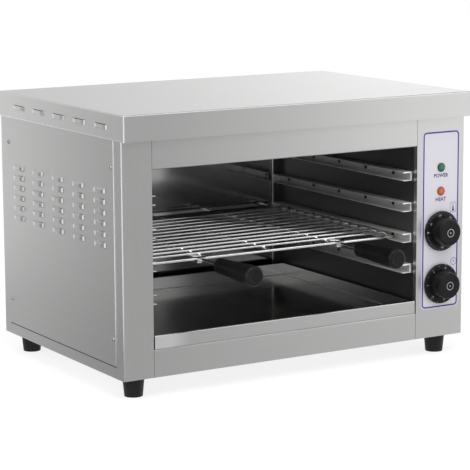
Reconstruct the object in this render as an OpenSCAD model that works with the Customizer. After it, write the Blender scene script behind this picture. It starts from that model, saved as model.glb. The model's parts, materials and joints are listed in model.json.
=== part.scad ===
// Countertop cheese melter: an open-fronted electric grill in folded stainless sheet.
// A wire rack slides on four levels of channel rails, a crumb tray slides out below it,
// and the column on the right holds the lamps, the thermostat and the timer.
//
// Everything is placed from the front face of the casing (y = 0, +Y to the back), the middle
// of its width (x = 0) and the surface that it stands on (z = 0). place() then shifts it so that
// the origin is the bottom centre of the whole object.

/* [Casing] */
// Width of the casing over its side sheets
casing_w = 600; // [560:10:700]
// Depth of the casing from its front face to its back face
casing_d = 400; // [390:5:460]
// Thickness of the sheet metal
sheet_t = 1; // [0.8:0.1:1.2]
// Outside radius of the folds in the sheet
fold_r = 2; // [1.5:0.5:3]
// Width of the post to the left of the opening
left_post_w = 49; // [40:1:70]
// Width of the control column to the right of the opening
column_w = 89; // [86:1:110]
// Height of the strip below the opening
sill_h = 41; // [36:1:60]
// Height of the opening
opening_h = 260; // [240:5:320]
// Height of the strip above the opening
lintel_h = 80; // [70:1:100]
// Gap between the strips and the posts beside them
seam_gap = 0.5; // [0.2:0.1:1]
// How far each corner post wraps round onto the side
post_wrap = 45; // [38:1:60]
// How far each rear post wraps round onto the back
rear_wrap = 30; // [20:1:40]
// Depth of the folded returns beside the opening
post_return = 8; // [5:1:8]
// Depth of the folded returns of the sill and the lintel
strip_return = 15; // [10:1:25]
// Height of the base pan's upstands below the side covers
pan_upstand = 40; // [30:1:50]

/* [Lid] */
// Height of the lid's flange
lid_flange_h = 38; // [34:1:45]
// How far the lid stands in front of the casing
lid_overhang = 13; // [8:1:20]
// Gap between the lid's side flange and the side cover
lid_side_gap = 0.2; // [0.2:0.1:1]
// How far the side sheets reach up behind the flange
side_tuck = 8; // [6:1:9]
// Number of vents in each side flange
vent_count = 5; // [2:1:5]
// Length of a vent
vent_len = 38; // [30:1:44]
// Height of a vent
vent_h = 7; // [6:0.5:10]
// How far a vent stands out
vent_out = 2; // [1:0.2:3]
// Distance of the end vents' middles from the lid's front and back
vent_margin = 71.5; // [50:0.5:90]
// How far the row of vents lies in front of the middle of the lid
vent_forward = 2.5; // [0:0.5:10]
// Height of a vent's lower edge above the flange's lower edge
vent_rise = 13.5; // [9:0.5:16]
// Height of the slit over each vent
vent_slit = 0.5; // [0.2:0.1:1.5]

/* [Side covers] */
// Distance of the cover's edges from the casing's front and back faces
cover_inset = 22; // [18:1:28]
// Distance of the cover's lower edge from the casing's underside
cover_rise = 18; // [12:1:25]
// Distance of a cover screw from the cover's upright edge
cover_screw_inset = 7.5; // [6:0.5:12]
// Height of the upper screws above the casing's underside
cover_screw_top = 305; // [280:1:330]
// Height of the lower screws above the casing's underside
cover_screw_low = 57; // [40:1:80]
// Columns of louvres
louvre_cols = 5; // [2:1:5]
// Rows of louvres
louvre_rows = 6; // [1:1:7]
// Length of a louvre
louvre_len = 34; // [26:1:50]
// Height of a louvre
louvre_h = 7.5; // [7:0.5:11]
// How far a louvre stands out
louvre_out = 3.2; // [2:0.2:4]
// Length of the steep shoulder at each end of a louvre or a vent
louvre_shoulder = 2; // [1:0.5:4]
// Length of the gentle slope between a shoulder and the crown
louvre_slope = 7; // [4:0.5:9]
// Distance of the end columns' middles from the cover's upright edges
louvre_margin = 43; // [30:1:60]
// Distance from one row of louvres to the next
louvre_pitch_z = 15.6; // [13:0.1:20]
// Height of the top row above the casing's underside
louvre_top = 265; // [180:1:280]

/* [Cooking space] */
// Height of the ceiling above the top of the opening
ceiling_rise = 26; // [24:1:30]
// Width of the flange that joins each side wall to the rear panel
wall_flange = 12.5; // [5:0.5:16]
// Air above the insulation blanket
blanket_air = 21; // [15:1:35]
// Gap between the blanket and the front and rear sheets
blanket_gap = 5; // [2:1:10]

/* [Rails] */
// Height of a rail's channel over its flanges
rail_h = 14; // [13:0.5:18]
// Depth of a rail's channel
rail_depth = 15.5; // [12:0.5:18]
// Distance of a rail's closed rear end from the casing's rear face
rail_rear = 8; // [4:0.5:8]
// Distance of a rail's front end from the casing's front face
rail_setback = 16; // [8:0.5:20]
// Height of the lowest rail's middle above the top of the sill
rail_first = 69; // [60:1:76]
// Distance from one level to the next
rail_pitch = 48; // [40:1:52]
// Rivets in each rail
rivet_count = 5; // [2:1:6]
// Distance of the first rivet from the casing's front face
rivet_first = 62; // [40:0.5:80]
// Distance of the last rivet from the casing's rear face
rivet_last = 37.5; // [30:0.5:80]
// Diameter of a rivet's shank
rivet_d = 3.2; // [2.4:0.2:4]

/* [Wire rack] */
// Level that the rack lies on, counted from the bottom
rack_level = 2; // [1:1:4]
// Gap between the rack's frame and the web of the rail on each side
rack_side_play = 4; // [2:0.5:6]
// Distance of the front rod's middle from the casing's front face
rack_front = 54; // [48:1:60]
// Distance of the rear rod's middle from the casing's rear face
rack_rear_gap = 12; // [12:1:40]
// Diameter of the frame and the support rods
rod_d = 5; // [4:0.5:6]
// Diameter of the cross wires
wire_d = 4; // [3:0.5:4.5]
// Number of cross wires
wire_count = 12; // [4:1:14]
// Distance from the front rod to the first cross wire
wire_first = 21; // [16:1:30]
// Distance from the last cross wire to the rear rod
wire_last = 27; // [16:1:40]
// Number of support rods between the side rods
support_count = 3; // [3:1:5]
// Radius of the rack's corners at the middle of the rod
rack_corner_r = 4; // [4:0.5:14]

/* [Handles] */
// Distance of a handle's middle from the outermost support rod
handle_offset = 10.75; // [10:0.25:30]
// Width of a handle's bracket
bracket_w = 14; // [10:1:20]
// Thickness of the bracket round the front rod
bracket_wall = 3; // [2:0.5:4]
// Thickness of the bracket's tongue
tongue_t = 1.5; // [1:0.1:2]
// Diameter of the stud
stud_d = 6; // [5:0.5:8]
// Length of stud that shows between the bracket and the grip
stud_gap = 51; // [20:1:60]
// Length of a grip
grip_len = 100; // [80:1:130]
// Diameter of the grip at its rear end
grip_rear_d = 23; // [16:1:24]
// Diameter of the grip at its front end
grip_front_d = 30; // [26:1:34]
// How deep the stud goes into the grip
stud_depth = 70; // [30:1:75]

/* [Crumb tray] */
// Height of the tray
tray_h = 20; // [15:1:30]
// Distance of the tray's back from the casing's rear face
tray_rear_gap = 23; // [10:1:60]
// Gap between the tray and each side of the opening
tray_side_gap = 2; // [1:0.5:4]
// Gap below the tray
tray_lift = 0.3; // [0.3:0.1:1]
// Width of the tray's folded rim
tray_rim = 4; // [3:0.5:6]
// Depth of the hem behind the tray's front lip
tray_hem = 6; // [4:1:10]

/* [Heating elements] */
// Diameter of the element's sheath
element_d = 8.5; // [6.5:0.5:9]
// Distance between the two legs of an element
element_leg_gap = 44; // [36:1:52]
// Distance of the end elements' middles from the casing's front and rear faces
element_margin = 80; // [60:1:100]
// Distance of the element's middle below the ceiling
element_drop = 12; // [10:1:15]
// Distance of the elements' bends from the left wall
element_end_gap = 18; // [10:1:40]
// Length of a leg beyond the right wall
element_tail = 14; // [10:1:20]
// Length of a terminal pin
terminal_len = 16; // [10:1:20]
// Diameter of a terminal pin
terminal_d = 4; // [3:0.5:5]
// Gap round an element in the wall and the hangers
element_clearance = 0.25; // [0.1:0.05:0.5]
// Thickness of a hanger
hanger_t = 1.5; // [1:0.1:2]
// Distance between the two hangers
hanger_spacing = 210; // [150:10:260]

/* [Controls] */
// Width of the printed label
label_w = 71; // [66:0.5:74]
// Height of the printed label
label_h = 278; // [270:1:300]
// Height of the label's middle above the casing's underside
label_mid = 184; // [180:1:190]
// Thickness of the label
label_t = 0.3; // [0.2:0.1:0.5]
// Radius of the label's corners
label_r = 7; // [4:1:10]
// Height of the power lamp above the casing's underside
power_lamp_rise = 266; // [260:1:280]
// Height of the heat lamp above the casing's underside
heat_lamp_rise = 229; // [224:1:234]
// Diameter of a lamp's lens
lens_d = 14; // [12:0.5:16]
// How far a lens stands out from the label
lens_out = 2.8; // [2:0.2:4]
// Diameter of a lamp's housing
lamp_d = 11.6; // [10:0.2:12]
// Length of a lamp's housing behind the panel
lamp_len = 25; // [20:1:32]
// Height of the thermostat's shaft above the casing's underside
thermostat_rise = 167; // [164:1:172]
// Height of the timer's shaft above the casing's underside
timer_rise = 84; // [78:1:88]
// Diameter of a knob's printed skirt
skirt_d = 62; // [50:1:64]
// Thickness of the skirt's rim
skirt_t = 4; // [3:0.5:5]
// Gap between the panel and the skirt
skirt_gap = 2.4; // [2.2:0.1:3]
// Diameter of the knob's cap where it meets the skirt
cap_base_d = 46; // [40:1:48]
// Diameter of the knob's cap at its face
cap_face_d = 41; // [34:1:42]
// Length of the cap in front of the skirt
cap_len = 20.5; // [16:0.5:24]
// Radius of the cap's front edge
cap_edge_r = 3; // [2:0.5:4]
// Diameter of the badge on the cap
badge_d = 13; // [10:0.5:16]
// How far the badge stands out of the cap
badge_out = 0.6; // [0.4:0.1:1]
// Diameter of a control's shaft
shaft_d = 6; // [5:0.5:7]
// Gap round a shaft in its bush
shaft_clearance = 0.05; // [0.02:0.01:0.1]
// Diameter of the bush round a shaft
bush_d = 9.8; // [9:0.2:11]
// How far the bush stands out in front of the panel
bush_out = 1.6; // [1:0.1:1.8]
// Length of the bore that holds a shaft behind the panel
bush_depth = 12; // [8:1:16]
// Width of the thermostat's body
thermostat_w = 40; // [34:1:44]
// Height of the thermostat's body
thermostat_h = 44; // [36:1:50]
// Depth of the thermostat's body
thermostat_d = 32; // [24:1:36]
// Width and height of the timer's body
timer_w = 46; // [40:1:50]
// Depth of the timer's body
timer_d = 40; // [28:1:44]
// Distance between the two screws of a control
control_screw_gap = 28; // [22:1:30]
// Diameter of the thermostat's probe
probe_d = 6; // [4:0.5:7]
// Length of the thermostat's probe
probe_len = 80; // [50:1:100]
// Diameter of the capillary
capillary_d = 1.8; // [1.2:0.2:2.4]

/* [Wiring] */
// Distance of the heat shield from the cooking space's wall
shield_gap = 11; // [8:1:12]
// Height of the heat shield above the base sheet
shield_h = 290; // [200:5:300]
// Width of the terminal block
block_w = 22; // [18:1:26]
// Length of the terminal block
block_len = 60; // [40:2:70]
// Height of the terminal block
block_h = 20; // [16:1:26]
// Diameter of a lead
lead_d = 2.5; // [2:0.1:3]
// Height of the cable gland above the casing's underside
gland_rise = 32; // [28:1:40]
// Width across the corners of the gland's hexagon
gland_hex_d = 26; // [24:1:28]
// Diameter of the gland's thread
gland_thread_d = 16; // [14:0.5:18]
// Diameter of the hole for the cable
gland_bore_d = 9; // [6:0.5:10]
// How far the gland stands out of the back
gland_out = 20; // [14:1:30]

/* [Feet and screws] */
// Height of a foot
foot_h = 30; // [20:1:50]
// Diameter of a foot at the casing
foot_top_d = 33; // [28:1:38]
// Diameter of a foot at the surface it stands on
foot_base_d = 27; // [22:1:32]
// Distance of a foot's middle from the casing's side
foot_inset_x = 31; // [24:1:45]
// Distance of a foot's middle from the casing's front and back
foot_inset_y = 30; // [24:1:45]
// Diameter of a foot's bolt
foot_bolt_d = 6; // [5:0.5:8]
// Depth of the bolt in the foot
foot_bolt_depth = 14; // [8:1:16]
// Diameter of a casing screw
screw_d = 4; // [3:0.5:5]
// Diameter of a casing screw's head
screw_head_d = 7; // [6:0.5:9]
// Height of a casing screw's head
screw_head_h = 2; // [1.5:0.1:3]
// Length of a casing screw behind its head
screw_len = 9; // [6:1:12]
// Gap round a screw in its hole
hole_clearance = 0.1; // [0.05:0.05:0.3]

/* [Hidden] */
$fn = 64;

// Colours
steel = [0.78, 0.79, 0.80];
inner_steel = [0.55, 0.56, 0.57];
chrome = [0.86, 0.87, 0.88];
black_plastic = [0.08, 0.08, 0.09];
rubber = [0.06, 0.06, 0.06];
label_white = [0.86, 0.86, 0.89];
lens_green = [0.05, 0.42, 0.28];
lens_amber = [0.80, 0.30, 0.10];
sheath = [0.34, 0.32, 0.30];
wool = [0.83, 0.80, 0.70];
ceramic = [0.90, 0.89, 0.85];
lead_red = [0.62, 0.16, 0.12];

// A cut that has to pass its piece runs on by this much
over = 1;

// Casing
left_x = -casing_w / 2;
right_x = casing_w / 2;
base_z = foot_h;
casing_h = sill_h + opening_h + lintel_h;
pan_top = base_z + sheet_t;
case_top = base_z + casing_h;
lid_top = case_top + sheet_t;
lid_low = lid_top - lid_flange_h;
side_top = lid_low + side_tuck;
rear_top = case_top - fold_r + sheet_t;
open_l = left_x + left_post_w;
open_r = right_x - column_w;
strip_l = open_l + seam_gap;
strip_r = open_r - seam_gap;
sill_z = base_z + sill_h;
open_top = sill_z + opening_h;
rear_face = casing_d - sheet_t;

// Cooking space
wall_l = open_l - sheet_t;
wall_r = open_r + sheet_t;
cavity_mid = (wall_l + wall_r) / 2;
ceil_z = open_top + ceiling_rise;

// Lid
lid_half = casing_w / 2 + sheet_t + lid_side_gap + sheet_t;
lid_d = casing_d + sheet_t + lid_overhang;
vent_mid_y = (casing_d + sheet_t - lid_overhang) / 2 - vent_forward;
vent_pitch = (lid_d - 2 * vent_margin) / (vent_count - 1);
vent_top = lid_low + vent_rise + vent_h;
lid_screw_outer = casing_w / 2 - rear_wrap / 2;
lid_screw_inner = casing_w / 6;
lid_screw_x = [-lid_screw_outer, -lid_screw_inner, lid_screw_inner, lid_screw_outer];
lid_screw_z = (lid_low + case_top) / 2;

// Side covers
cover_low = base_z + cover_rise;
cover_x = right_x + sheet_t;
cover_d = casing_d - 2 * cover_inset;
louvre_pitch_y = (cover_d - 2 * louvre_margin) / (louvre_cols - 1);
louvre_wall = 0.8 * sheet_t;
shoulder_share = 0.62;
brow_share = 0.8;
screw_y = cover_inset + cover_screw_inset;

// Rails and rack
function rail_z(level) = sill_z + rail_first + (level - 1) * rail_pitch;
rivet_pitch = (casing_d - rivet_first - rivet_last) / (rivet_count - 1);
rivet_y = [for (i = [0 : rivet_count - 1]) rivet_first + i * rivet_pitch];
rivet_head_d = 2 * rivet_d;
rivet_head_h = 0.9;
rivet_bore_d = 0.6 * rivet_d;
rod_r = rod_d / 2;
wire_r = wire_d / 2;
slide_gap = 0.3;
rod_z = rail_z(rack_level) - rail_h / 2 + sheet_t + slide_gap + rod_r;
weld_sink = 0.4;
wire_z = rod_z + rod_r + wire_r - weld_sink;
rack_half = (wall_r - wall_l) / 2 - sheet_t - rack_side_play - rod_r;
rack_rear = casing_d - rack_rear_gap;
wire_pitch = (rack_rear - rack_front - wire_first - wire_last) / (wire_count - 1);
support_pitch = 2 * rack_half / (support_count + 1);

// Handles
bracket_front = rack_front - rod_r - bracket_wall;
stud_z = rod_z - bracket_wall / 2;
grip_rear = bracket_front - stud_gap;
grip_front = grip_rear - grip_len;
tongue_top = wire_z - wire_r;
tongue_overlap = 5;
tongue_back = rack_front + wire_first + wire_r + tongue_overlap;

// Crumb tray
tray_l = open_l + tray_side_gap;
tray_r = open_r - tray_side_gap;
tray_z = sill_z + tray_lift;
tray_top = tray_z + tray_h;
tray_d = casing_d - tray_rear_gap;
tray_stop_spacing = 240;
tray_stop_w = 20;
tray_stop_h = 6;

// Heating elements
element_r = element_d / 2;
element_z = ceil_z - element_drop;
element_bend_r = element_leg_gap / 2;
element_bend_x = wall_l + element_end_gap + element_bend_r + element_r;
element_leg_x = wall_r + sheet_t + element_tail;
terminal_tip = element_leg_x + terminal_len;
element_pitch = casing_d / 2 - element_margin;
element_plate_t = 1.5;
element_plate_margin = 7;
hanger_rim = 4;
hanger_hang = element_r + hanger_rim;
hanger_foot = 10;
hanger_margin = 14;

// Controls
column_x = right_x - column_w / 2 + 0.5;
thermostat_z = base_z + thermostat_rise;
timer_z = base_z + timer_rise;
power_z = base_z + power_lamp_rise;
heat_z = base_z + heat_lamp_rise;
shaft_r = shaft_d / 2;
bush_r = bush_d / 2;
shaft_front = -(skirt_gap + skirt_t + 0.7 * cap_len);
shaft_end_gap = 0.4;
cap_front = -(skirt_gap + skirt_t + cap_len);
control_screw_d = 3;
control_screw_head_d = 5.5;
control_screw_head_h = 1.4;
control_screw_len = 8;
lamp_ring_d = lamp_d + 4;
lamp_ring_t = 2;

// Probe and wiring
probe_rear_gap = 16;
probe_wall_gap = 40;
probe_clip_w = 8;
probe_clip_t = 1;
probe_y = casing_d - probe_rear_gap;
probe_z = ceil_z - probe_d / 2 - probe_clip_t;
probe_right = wall_r - probe_wall_gap;
shield_x = wall_r + sheet_t + shield_gap;
shield_front = 60;
shield_foot = 12;
block_side_gap = 5;
block_rear_gap = 50;
block_x = shield_x + shield_foot + block_side_gap;
block_front = casing_d - block_rear_gap - block_len;
lead_r = lead_d / 2;
lead_bend = 4;
timer_lead_reach = 30;
lamp_lead_reach = 40;
link_lead_reach = 12;
heat_lead_reach = 8;
lead_rise = 8;
gland_x = block_x + block_w / 2;
gland_z = base_z + gland_rise;
gland_hex_t = 12;
gland_nut_t = 6;
gland_tail = 10;

// Where the whole object begins and ends from front to back, and the shift that centres it
object_front = grip_front;
object_rear = casing_d + gland_out;
shift_y = -(object_front + object_rear) / 2;

// Moves a piece from the casing's own zero to the object's origin
module place() {
    translate([0, shift_y, 0])
        children();
}

// Draws its children a second time on the other side of the middle plane
module both_sides() {
    children();
    mirror([1, 0, 0])
        children();
}

// A box between two corners
module span(low, high) {
    translate(low)
        cube(high - low);
}

// A cylinder along Y
module rod_y(x, z, y0, y1, r) {
    translate([x, y0, z])
        rotate([-90, 0, 0])
            cylinder(h = y1 - y0, r = r);
}

// A cylinder along X
module rod_x(y, z, x0, x1, r) {
    translate([x0, y, z])
        rotate([0, 90, 0])
            cylinder(h = x1 - x0, r = r);
}

// A hexagonal prism along Y, measured across its corners
module hex_y(x, z, y0, y1, d) {
    translate([x, y0, z])
        rotate([-90, 30, 0])
            cylinder(h = y1 - y0, d = d, $fn = 6);
}

// Section of a sheet with one rounded fold at the origin, its legs along +x and +y
module fold_section(leg_x, leg_y) {
    translate([fold_r, 0])
        square([leg_x - fold_r, sheet_t]);
    translate([0, fold_r])
        square([sheet_t, leg_y - fold_r]);
    intersection() {
        translate([fold_r, fold_r])
            difference() {
                circle(r = fold_r);
                circle(r = fold_r - sheet_t);
            }
        square(fold_r);
    }
}

// An upright folded sheet: leg_x runs along +X and leg_y along +Y
module upright_fold(x, y, z0, z1, leg_x, leg_y) {
    translate([x, y, z0])
        linear_extrude(height = z1 - z0)
            fold_section(leg_x, leg_y);
}

// A folded strip across the front: one leg back along +Y, the other up, or down if flipped
module cross_fold(x0, x1, y, z, back, rise, flipped = false) {
    translate([x0, y, z])
        rotate([90, 0, 90])
            linear_extrude(height = x1 - x0)
                mirror([0, flipped ? 1 : 0])
                    fold_section(back, rise);
}

// A block whose upright and upper edges are rounded
module soft_block(low, high, r) {
    translate([0, 0, low.z])
        linear_extrude(height = high.z - r - low.z)
            soft_plan(low, high, r);
    span([low.x + r, low.y + r, low.z], [high.x - r, high.y - r, high.z]);
    for (y = [low.y + r, high.y - r])
        rod_x(y, high.z - r, low.x + r, high.x - r, r);
    for (x = [low.x + r, high.x - r]) {
        rod_y(x, high.z - r, low.y + r, high.y - r, r);
        for (y = [low.y + r, high.y - r])
            translate([x, y, high.z - r])
                sphere(r = r);
    }
}

// A rectangle whose corners are rounded
module soft_plan(low, high, r) {
    translate([low.x + r, low.y])
        square([high.x - low.x - 2 * r, high.y - low.y]);
    translate([low.x, low.y + r])
        square([high.x - low.x, high.y - low.y - 2 * r]);
    for (x = [low.x + r, high.x - r])
        for (y = [low.y + r, high.y - r])
            translate([x, y])
                circle(r = r);
}

// A run of round wire or tube through a list of points, each leg along one axis, with round elbows
module wire_run(points, r, bend) {
    last = len(points) - 1;
    for (i = [0 : last - 1]) {
        way = direction(points[i], points[i + 1]);
        start = points[i] + (i == 0 ? 0 : bend) * way;
        end = points[i + 1] - (i == last - 1 ? 0 : bend) * way;
        turned(start, cross_axis(way), cross(way, cross_axis(way)), way)
            cylinder(h = norm(end - start), r = r);
    }
    for (i = [1 : 1 : last - 1]) {
        before = direction(points[i - 1], points[i]);
        after = direction(points[i], points[i + 1]);
        turned(points[i] + bend * (after - before), -after, before, cross(before, after))
            rotate_extrude(angle = 90)
                translate([bend, 0])
                    circle(r = r);
    }
}

// Unit vector from one point to the next
function direction(from, to) = (to - from) / norm(to - from);

// A unit vector at right angles to one that lies along an axis
function cross_axis(way) = abs(way.x) > 0.5 ? [0, sign(way.x), 0] : [1, 0, 0];

// Moves its children to a point and turns their axes to three given directions
module turned(point, x, y, z) {
    multmatrix([
        [x.x, y.x, z.x, point.x],
        [x.y, y.y, z.y, point.y],
        [x.z, y.z, z.z, point.z],
        [0, 0, 0, 1]
    ])
        children();
}

// ---- Casing ----

module base_pan() {
    color(steel)
        place()
            difference() {
                union() {
                    span([left_x + sheet_t, sheet_t, base_z], [right_x - sheet_t, rear_face, pan_top]);
                    both_sides()
                        span(
                            [left_x, post_wrap, base_z],
                            [left_x + 2 * sheet_t, casing_d - post_wrap, pan_top]
                        );
                    both_sides()
                        span(
                            [left_x, post_wrap, base_z],
                            [left_x + sheet_t, casing_d - post_wrap, base_z + pan_upstand]
                        );
                }
                foot_positions()
                    translate([0, 0, base_z - over])
                        cylinder(h = sheet_t + 2 * over, d = foot_bolt_d + 2 * hole_clearance);
            }
}

// Cuts the holes of the cover screws through both side sheets
module cover_screw_holes() {
    for (y = [screw_y, casing_d - screw_y])
        for (rise = [cover_screw_low, cover_screw_top])
            both_sides()
                rod_x(
                    y, base_z + rise, right_x - 2 * sheet_t - over, right_x + sheet_t + over,
                    screw_d / 2 + hole_clearance
                );
}

// Cuts the holes of the lid screws through the sheets at the back
module lid_screw_holes() {
    for (x = lid_screw_x)
        rod_y(
            x, lid_screw_z, rear_face - over, casing_d + sheet_t + over,
            screw_d / 2 + hole_clearance
        );
}

module left_front_post() {
    color(steel)
        place()
            difference() {
                union() {
                    upright_fold(left_x, 0, base_z, side_top, left_post_w, post_wrap);
                    span([left_x + fold_r, 0, base_z], [open_l, sheet_t, case_top]);
                    span([open_l - sheet_t, 0, sill_z], [open_l, post_return, ceil_z]);
                }
                cover_screw_holes();
            }
}

module rear_post() {
    difference() {
        union() {
            translate([left_x, casing_d, 0])
                mirror([0, 1, 0])
                    upright_fold(0, 0, base_z, side_top, rear_wrap, post_wrap);
            span([left_x + fold_r, rear_face, base_z], [left_x + rear_wrap, casing_d, rear_top]);
        }
        cover_screw_holes();
        lid_screw_holes();
    }
}

module left_rear_post() {
    color(steel)
        place()
            rear_post();
}

module right_rear_post() {
    color(steel)
        place()
            mirror([1, 0, 0])
                rear_post();
}

module control_panel() {
    color(steel)
        place()
            difference() {
                union() {
                    mirror([1, 0, 0])
                        upright_fold(-right_x, 0, base_z, side_top, column_w, post_wrap);
                    span([open_r, 0, base_z], [right_x - fold_r, sheet_t, case_top]);
                    span([open_r, 0, sill_z], [open_r + sheet_t, post_return, ceil_z]);
                }
                cover_screw_holes();
                panel_holes(sheet_t + over);
            }
}

// Holes through the panel and the label for the lamps, the bushes and the control screws
module panel_holes(depth) {
    for (z = [power_z, heat_z])
        rod_y(column_x, z, -label_t - over, depth, lamp_d / 2 + hole_clearance);
    for (z = [thermostat_z, timer_z]) {
        rod_y(column_x, z, -label_t - over, depth, bush_r + hole_clearance);
        for (side = [-1, 1])
            rod_y(
                column_x + side * control_screw_gap / 2, z, -label_t - over, depth,
                control_screw_d / 2 + hole_clearance
            );
    }
}

module front_sill() {
    color(steel)
        place() {
            cross_fold(strip_l, strip_r, 0, sill_z, strip_return, sill_h, true);
            span([strip_l, 0, pan_top], [strip_r, strip_return, pan_top + sheet_t]);
        }
}

module lintel() {
    color(steel)
        place()
            cross_fold(strip_l, strip_r, 0, open_top, strip_return, lintel_h);
}

module rear_panel() {
    color(inner_steel)
        place()
            difference() {
                span([left_x + rear_wrap, rear_face, base_z], [right_x - rear_wrap, casing_d, rear_top]);
                lid_screw_holes();
                rod_y(
                    gland_x, gland_z, rear_face - over, casing_d + over,
                    gland_thread_d / 2 + hole_clearance
                );
            }
}

// One pressed louvre that stands out from x = 0 along +X and is open at z = 0. Its ends rise
// steeply and then gently to its crown. The form that hollows it is the same one, moved back by
// its wall and reaching down past its mouth.
module louvre_form(length, height, out, back, wall = 0, mouth = 0) {
    brow = brow_share * out;
    rise = shoulder_share * out;
    end = length / 2;
    shoulder = end - louvre_shoulder;
    crown = shoulder - louvre_slope;
    translate([-wall, 0, 0])
        intersection() {
            translate([0, length, 0])
                rotate([90, 0, 0])
                    linear_extrude(height = 2 * length)
                        polygon([
                            [-back, -mouth], [out, -mouth], [out, height - brow],
                            [0, height], [-back, height]
                        ]);
            translate([0, 0, -mouth - over])
                linear_extrude(height = mouth + height + 2 * over)
                    polygon([
                        [-back, -end], [0, -end], [rise, -shoulder], [out, -crown],
                        [out, crown], [rise, shoulder], [0, end], [-back, end]
                    ]);
        }
}

module louvre_places() {
    for (col = [0 : louvre_cols - 1])
        for (row = [0 : louvre_rows - 1])
            translate([
                cover_x,
                casing_d / 2 + (col - (louvre_cols - 1) / 2) * louvre_pitch_y,
                base_z + louvre_top - row * louvre_pitch_z
            ])
                children();
}

module side_cover() {
    difference() {
        union() {
            span(
                [right_x, cover_inset, cover_low],
                [cover_x, casing_d - cover_inset, side_top]
            );
            louvre_places()
                louvre_form(louvre_len, louvre_h, louvre_out, sheet_t / 2);
        }
        louvre_places()
            louvre_form(louvre_len, louvre_h, louvre_out, sheet_t + over, louvre_wall, over);
        cover_screw_holes();
    }
}

module right_side_cover() {
    color(steel)
        place()
            side_cover();
}

module left_side_cover() {
    color(steel)
        place()
            mirror([1, 0, 0])
                side_cover();
}

module vent_places() {
    for (i = [0 : vent_count - 1])
        both_sides()
            translate([lid_half, vent_mid_y + (i - (vent_count - 1) / 2) * vent_pitch, vent_top])
                children();
}

module lid() {
    color(steel)
        place()
            difference() {
                union() {
                    soft_block(
                        [-lid_half, -lid_overhang, lid_low],
                        [lid_half, casing_d + sheet_t, lid_top], fold_r
                    );
                    vent_places()
                        mirror([0, 0, 1])
                            louvre_form(vent_len, vent_h, vent_out, sheet_t / 2);
                }
                soft_block(
                    [-lid_half + sheet_t, -lid_overhang + sheet_t, lid_low - over],
                    [lid_half - sheet_t, casing_d, case_top], fold_r - sheet_t
                );
                vent_places()
                    mirror([0, 0, 1])
                        louvre_form(
                            vent_len, vent_h, vent_out, sheet_t + over, louvre_wall, vent_slit
                        );
                lid_screw_holes();
            }
}

// ---- Cooking space ----

// One side wall on the right of the cooking space, with its flange against the rear panel
module cavity_wall() {
    span([wall_r, sheet_t, sill_z], [wall_r + sheet_t, rear_face, ceil_z]);
    span([wall_r - wall_flange, rear_face - sheet_t, sill_z], [wall_r + sheet_t, rear_face, ceil_z]);
}

// Rivet holes through a rail and its wall, on the right
module rivet_holes() {
    for (level = [1 : 4])
        for (y = rivet_y)
            rod_x(y, rail_z(level), wall_r - sheet_t - over, wall_r + sheet_t + over, rivet_d / 2);
}

// Moves what is made for the right wall to the left wall
module on_left_wall() {
    translate([2 * cavity_mid, 0, 0])
        mirror([1, 0, 0])
            children();
}

module cavity_left_wall() {
    color(inner_steel)
        place()
            on_left_wall()
                difference() {
                    cavity_wall();
                    rivet_holes();
                }
}

module cavity_right_wall() {
    color(inner_steel)
        place()
            difference() {
                cavity_wall();
                rivet_holes();
                element_legs()
                    rod_x(
                        0, element_z, wall_r - over, wall_r + sheet_t + over,
                        element_r + element_clearance
                    );
                rod_x(probe_y, probe_z, wall_r - over, wall_r + sheet_t + over, capillary_d);
            }
}

// The floor with the two tabs that stop the tray
module cavity_floor() {
    color(inner_steel)
        place()
            union() {
                span(
                    [wall_l - sheet_t, strip_return, sill_z - sheet_t],
                    [wall_r + sheet_t, rear_face, sill_z]
                );
                for (side = [-1, 1])
                    translate([cavity_mid + side * tray_stop_spacing / 2, tray_d + slide_gap, sill_z])
                        span([-tray_stop_w / 2, 0, -sheet_t], [tray_stop_w / 2, sheet_t, tray_stop_h]);
            }
}

module cavity_ceiling() {
    color(inner_steel)
        place()
            span([wall_l - sheet_t, sheet_t, ceil_z], [wall_r + sheet_t, rear_face, ceil_z + sheet_t]);
}

module insulation_blanket() {
    color(wool)
        place()
            span(
                [wall_l, sheet_t + blanket_gap, ceil_z + sheet_t],
                [wall_r, rear_face - blanket_gap, case_top - blanket_air]
            );
}

module control_heat_shield() {
    color(inner_steel)
        place() {
            span([shield_x, shield_front, pan_top], [shield_x + sheet_t, rear_face, pan_top + shield_h]);
            span([shield_x, shield_front, pan_top], [shield_x + shield_foot, rear_face, pan_top + sheet_t]);
        }
}

// ---- Rails ----

// One channel rail on the right wall, open towards the cooking space and closed at the rear
module rail(level) {
    z = rail_z(level);
    front = rail_setback;
    back = casing_d - rail_rear;
    difference() {
        span([wall_r - rail_depth, front, z - rail_h / 2], [wall_r, back, z + rail_h / 2]);
        span(
            [wall_r - rail_depth - over, front - over, z - rail_h / 2 + sheet_t],
            [wall_r - sheet_t, back - sheet_t, z + rail_h / 2 - sheet_t]
        );
        rivet_holes();
    }
}

module rail_right(level) {
    color(chrome)
        place()
            rail(level);
}

module rail_left(level) {
    color(chrome)
        place()
            on_left_wall()
                rail(level);
}

// One blind rivet on the right: a head with the mandrel's hole, a shank and a closed end
module rivet(y, z) {
    difference() {
        union() {
            rod_x(y, z, wall_r - sheet_t, wall_r + sheet_t, rivet_d / 2);
            rod_x(y, z, wall_r - sheet_t - rivet_head_h, wall_r - sheet_t, rivet_head_d / 2);
            rod_x(y, z, wall_r + sheet_t, wall_r + 2 * sheet_t + rivet_head_h, 0.75 * rivet_d);
        }
        rod_x(y, z, wall_r - sheet_t - rivet_head_h - over, wall_r, rivet_bore_d / 2);
    }
}

module rail_rivets() {
    color(steel)
        place()
            for (level = [1 : 4])
                for (y = rivet_y) {
                    rivet(y, rail_z(level));
                    on_left_wall()
                        rivet(y, rail_z(level));
                }
}

// ---- Wire rack and handles ----

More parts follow.
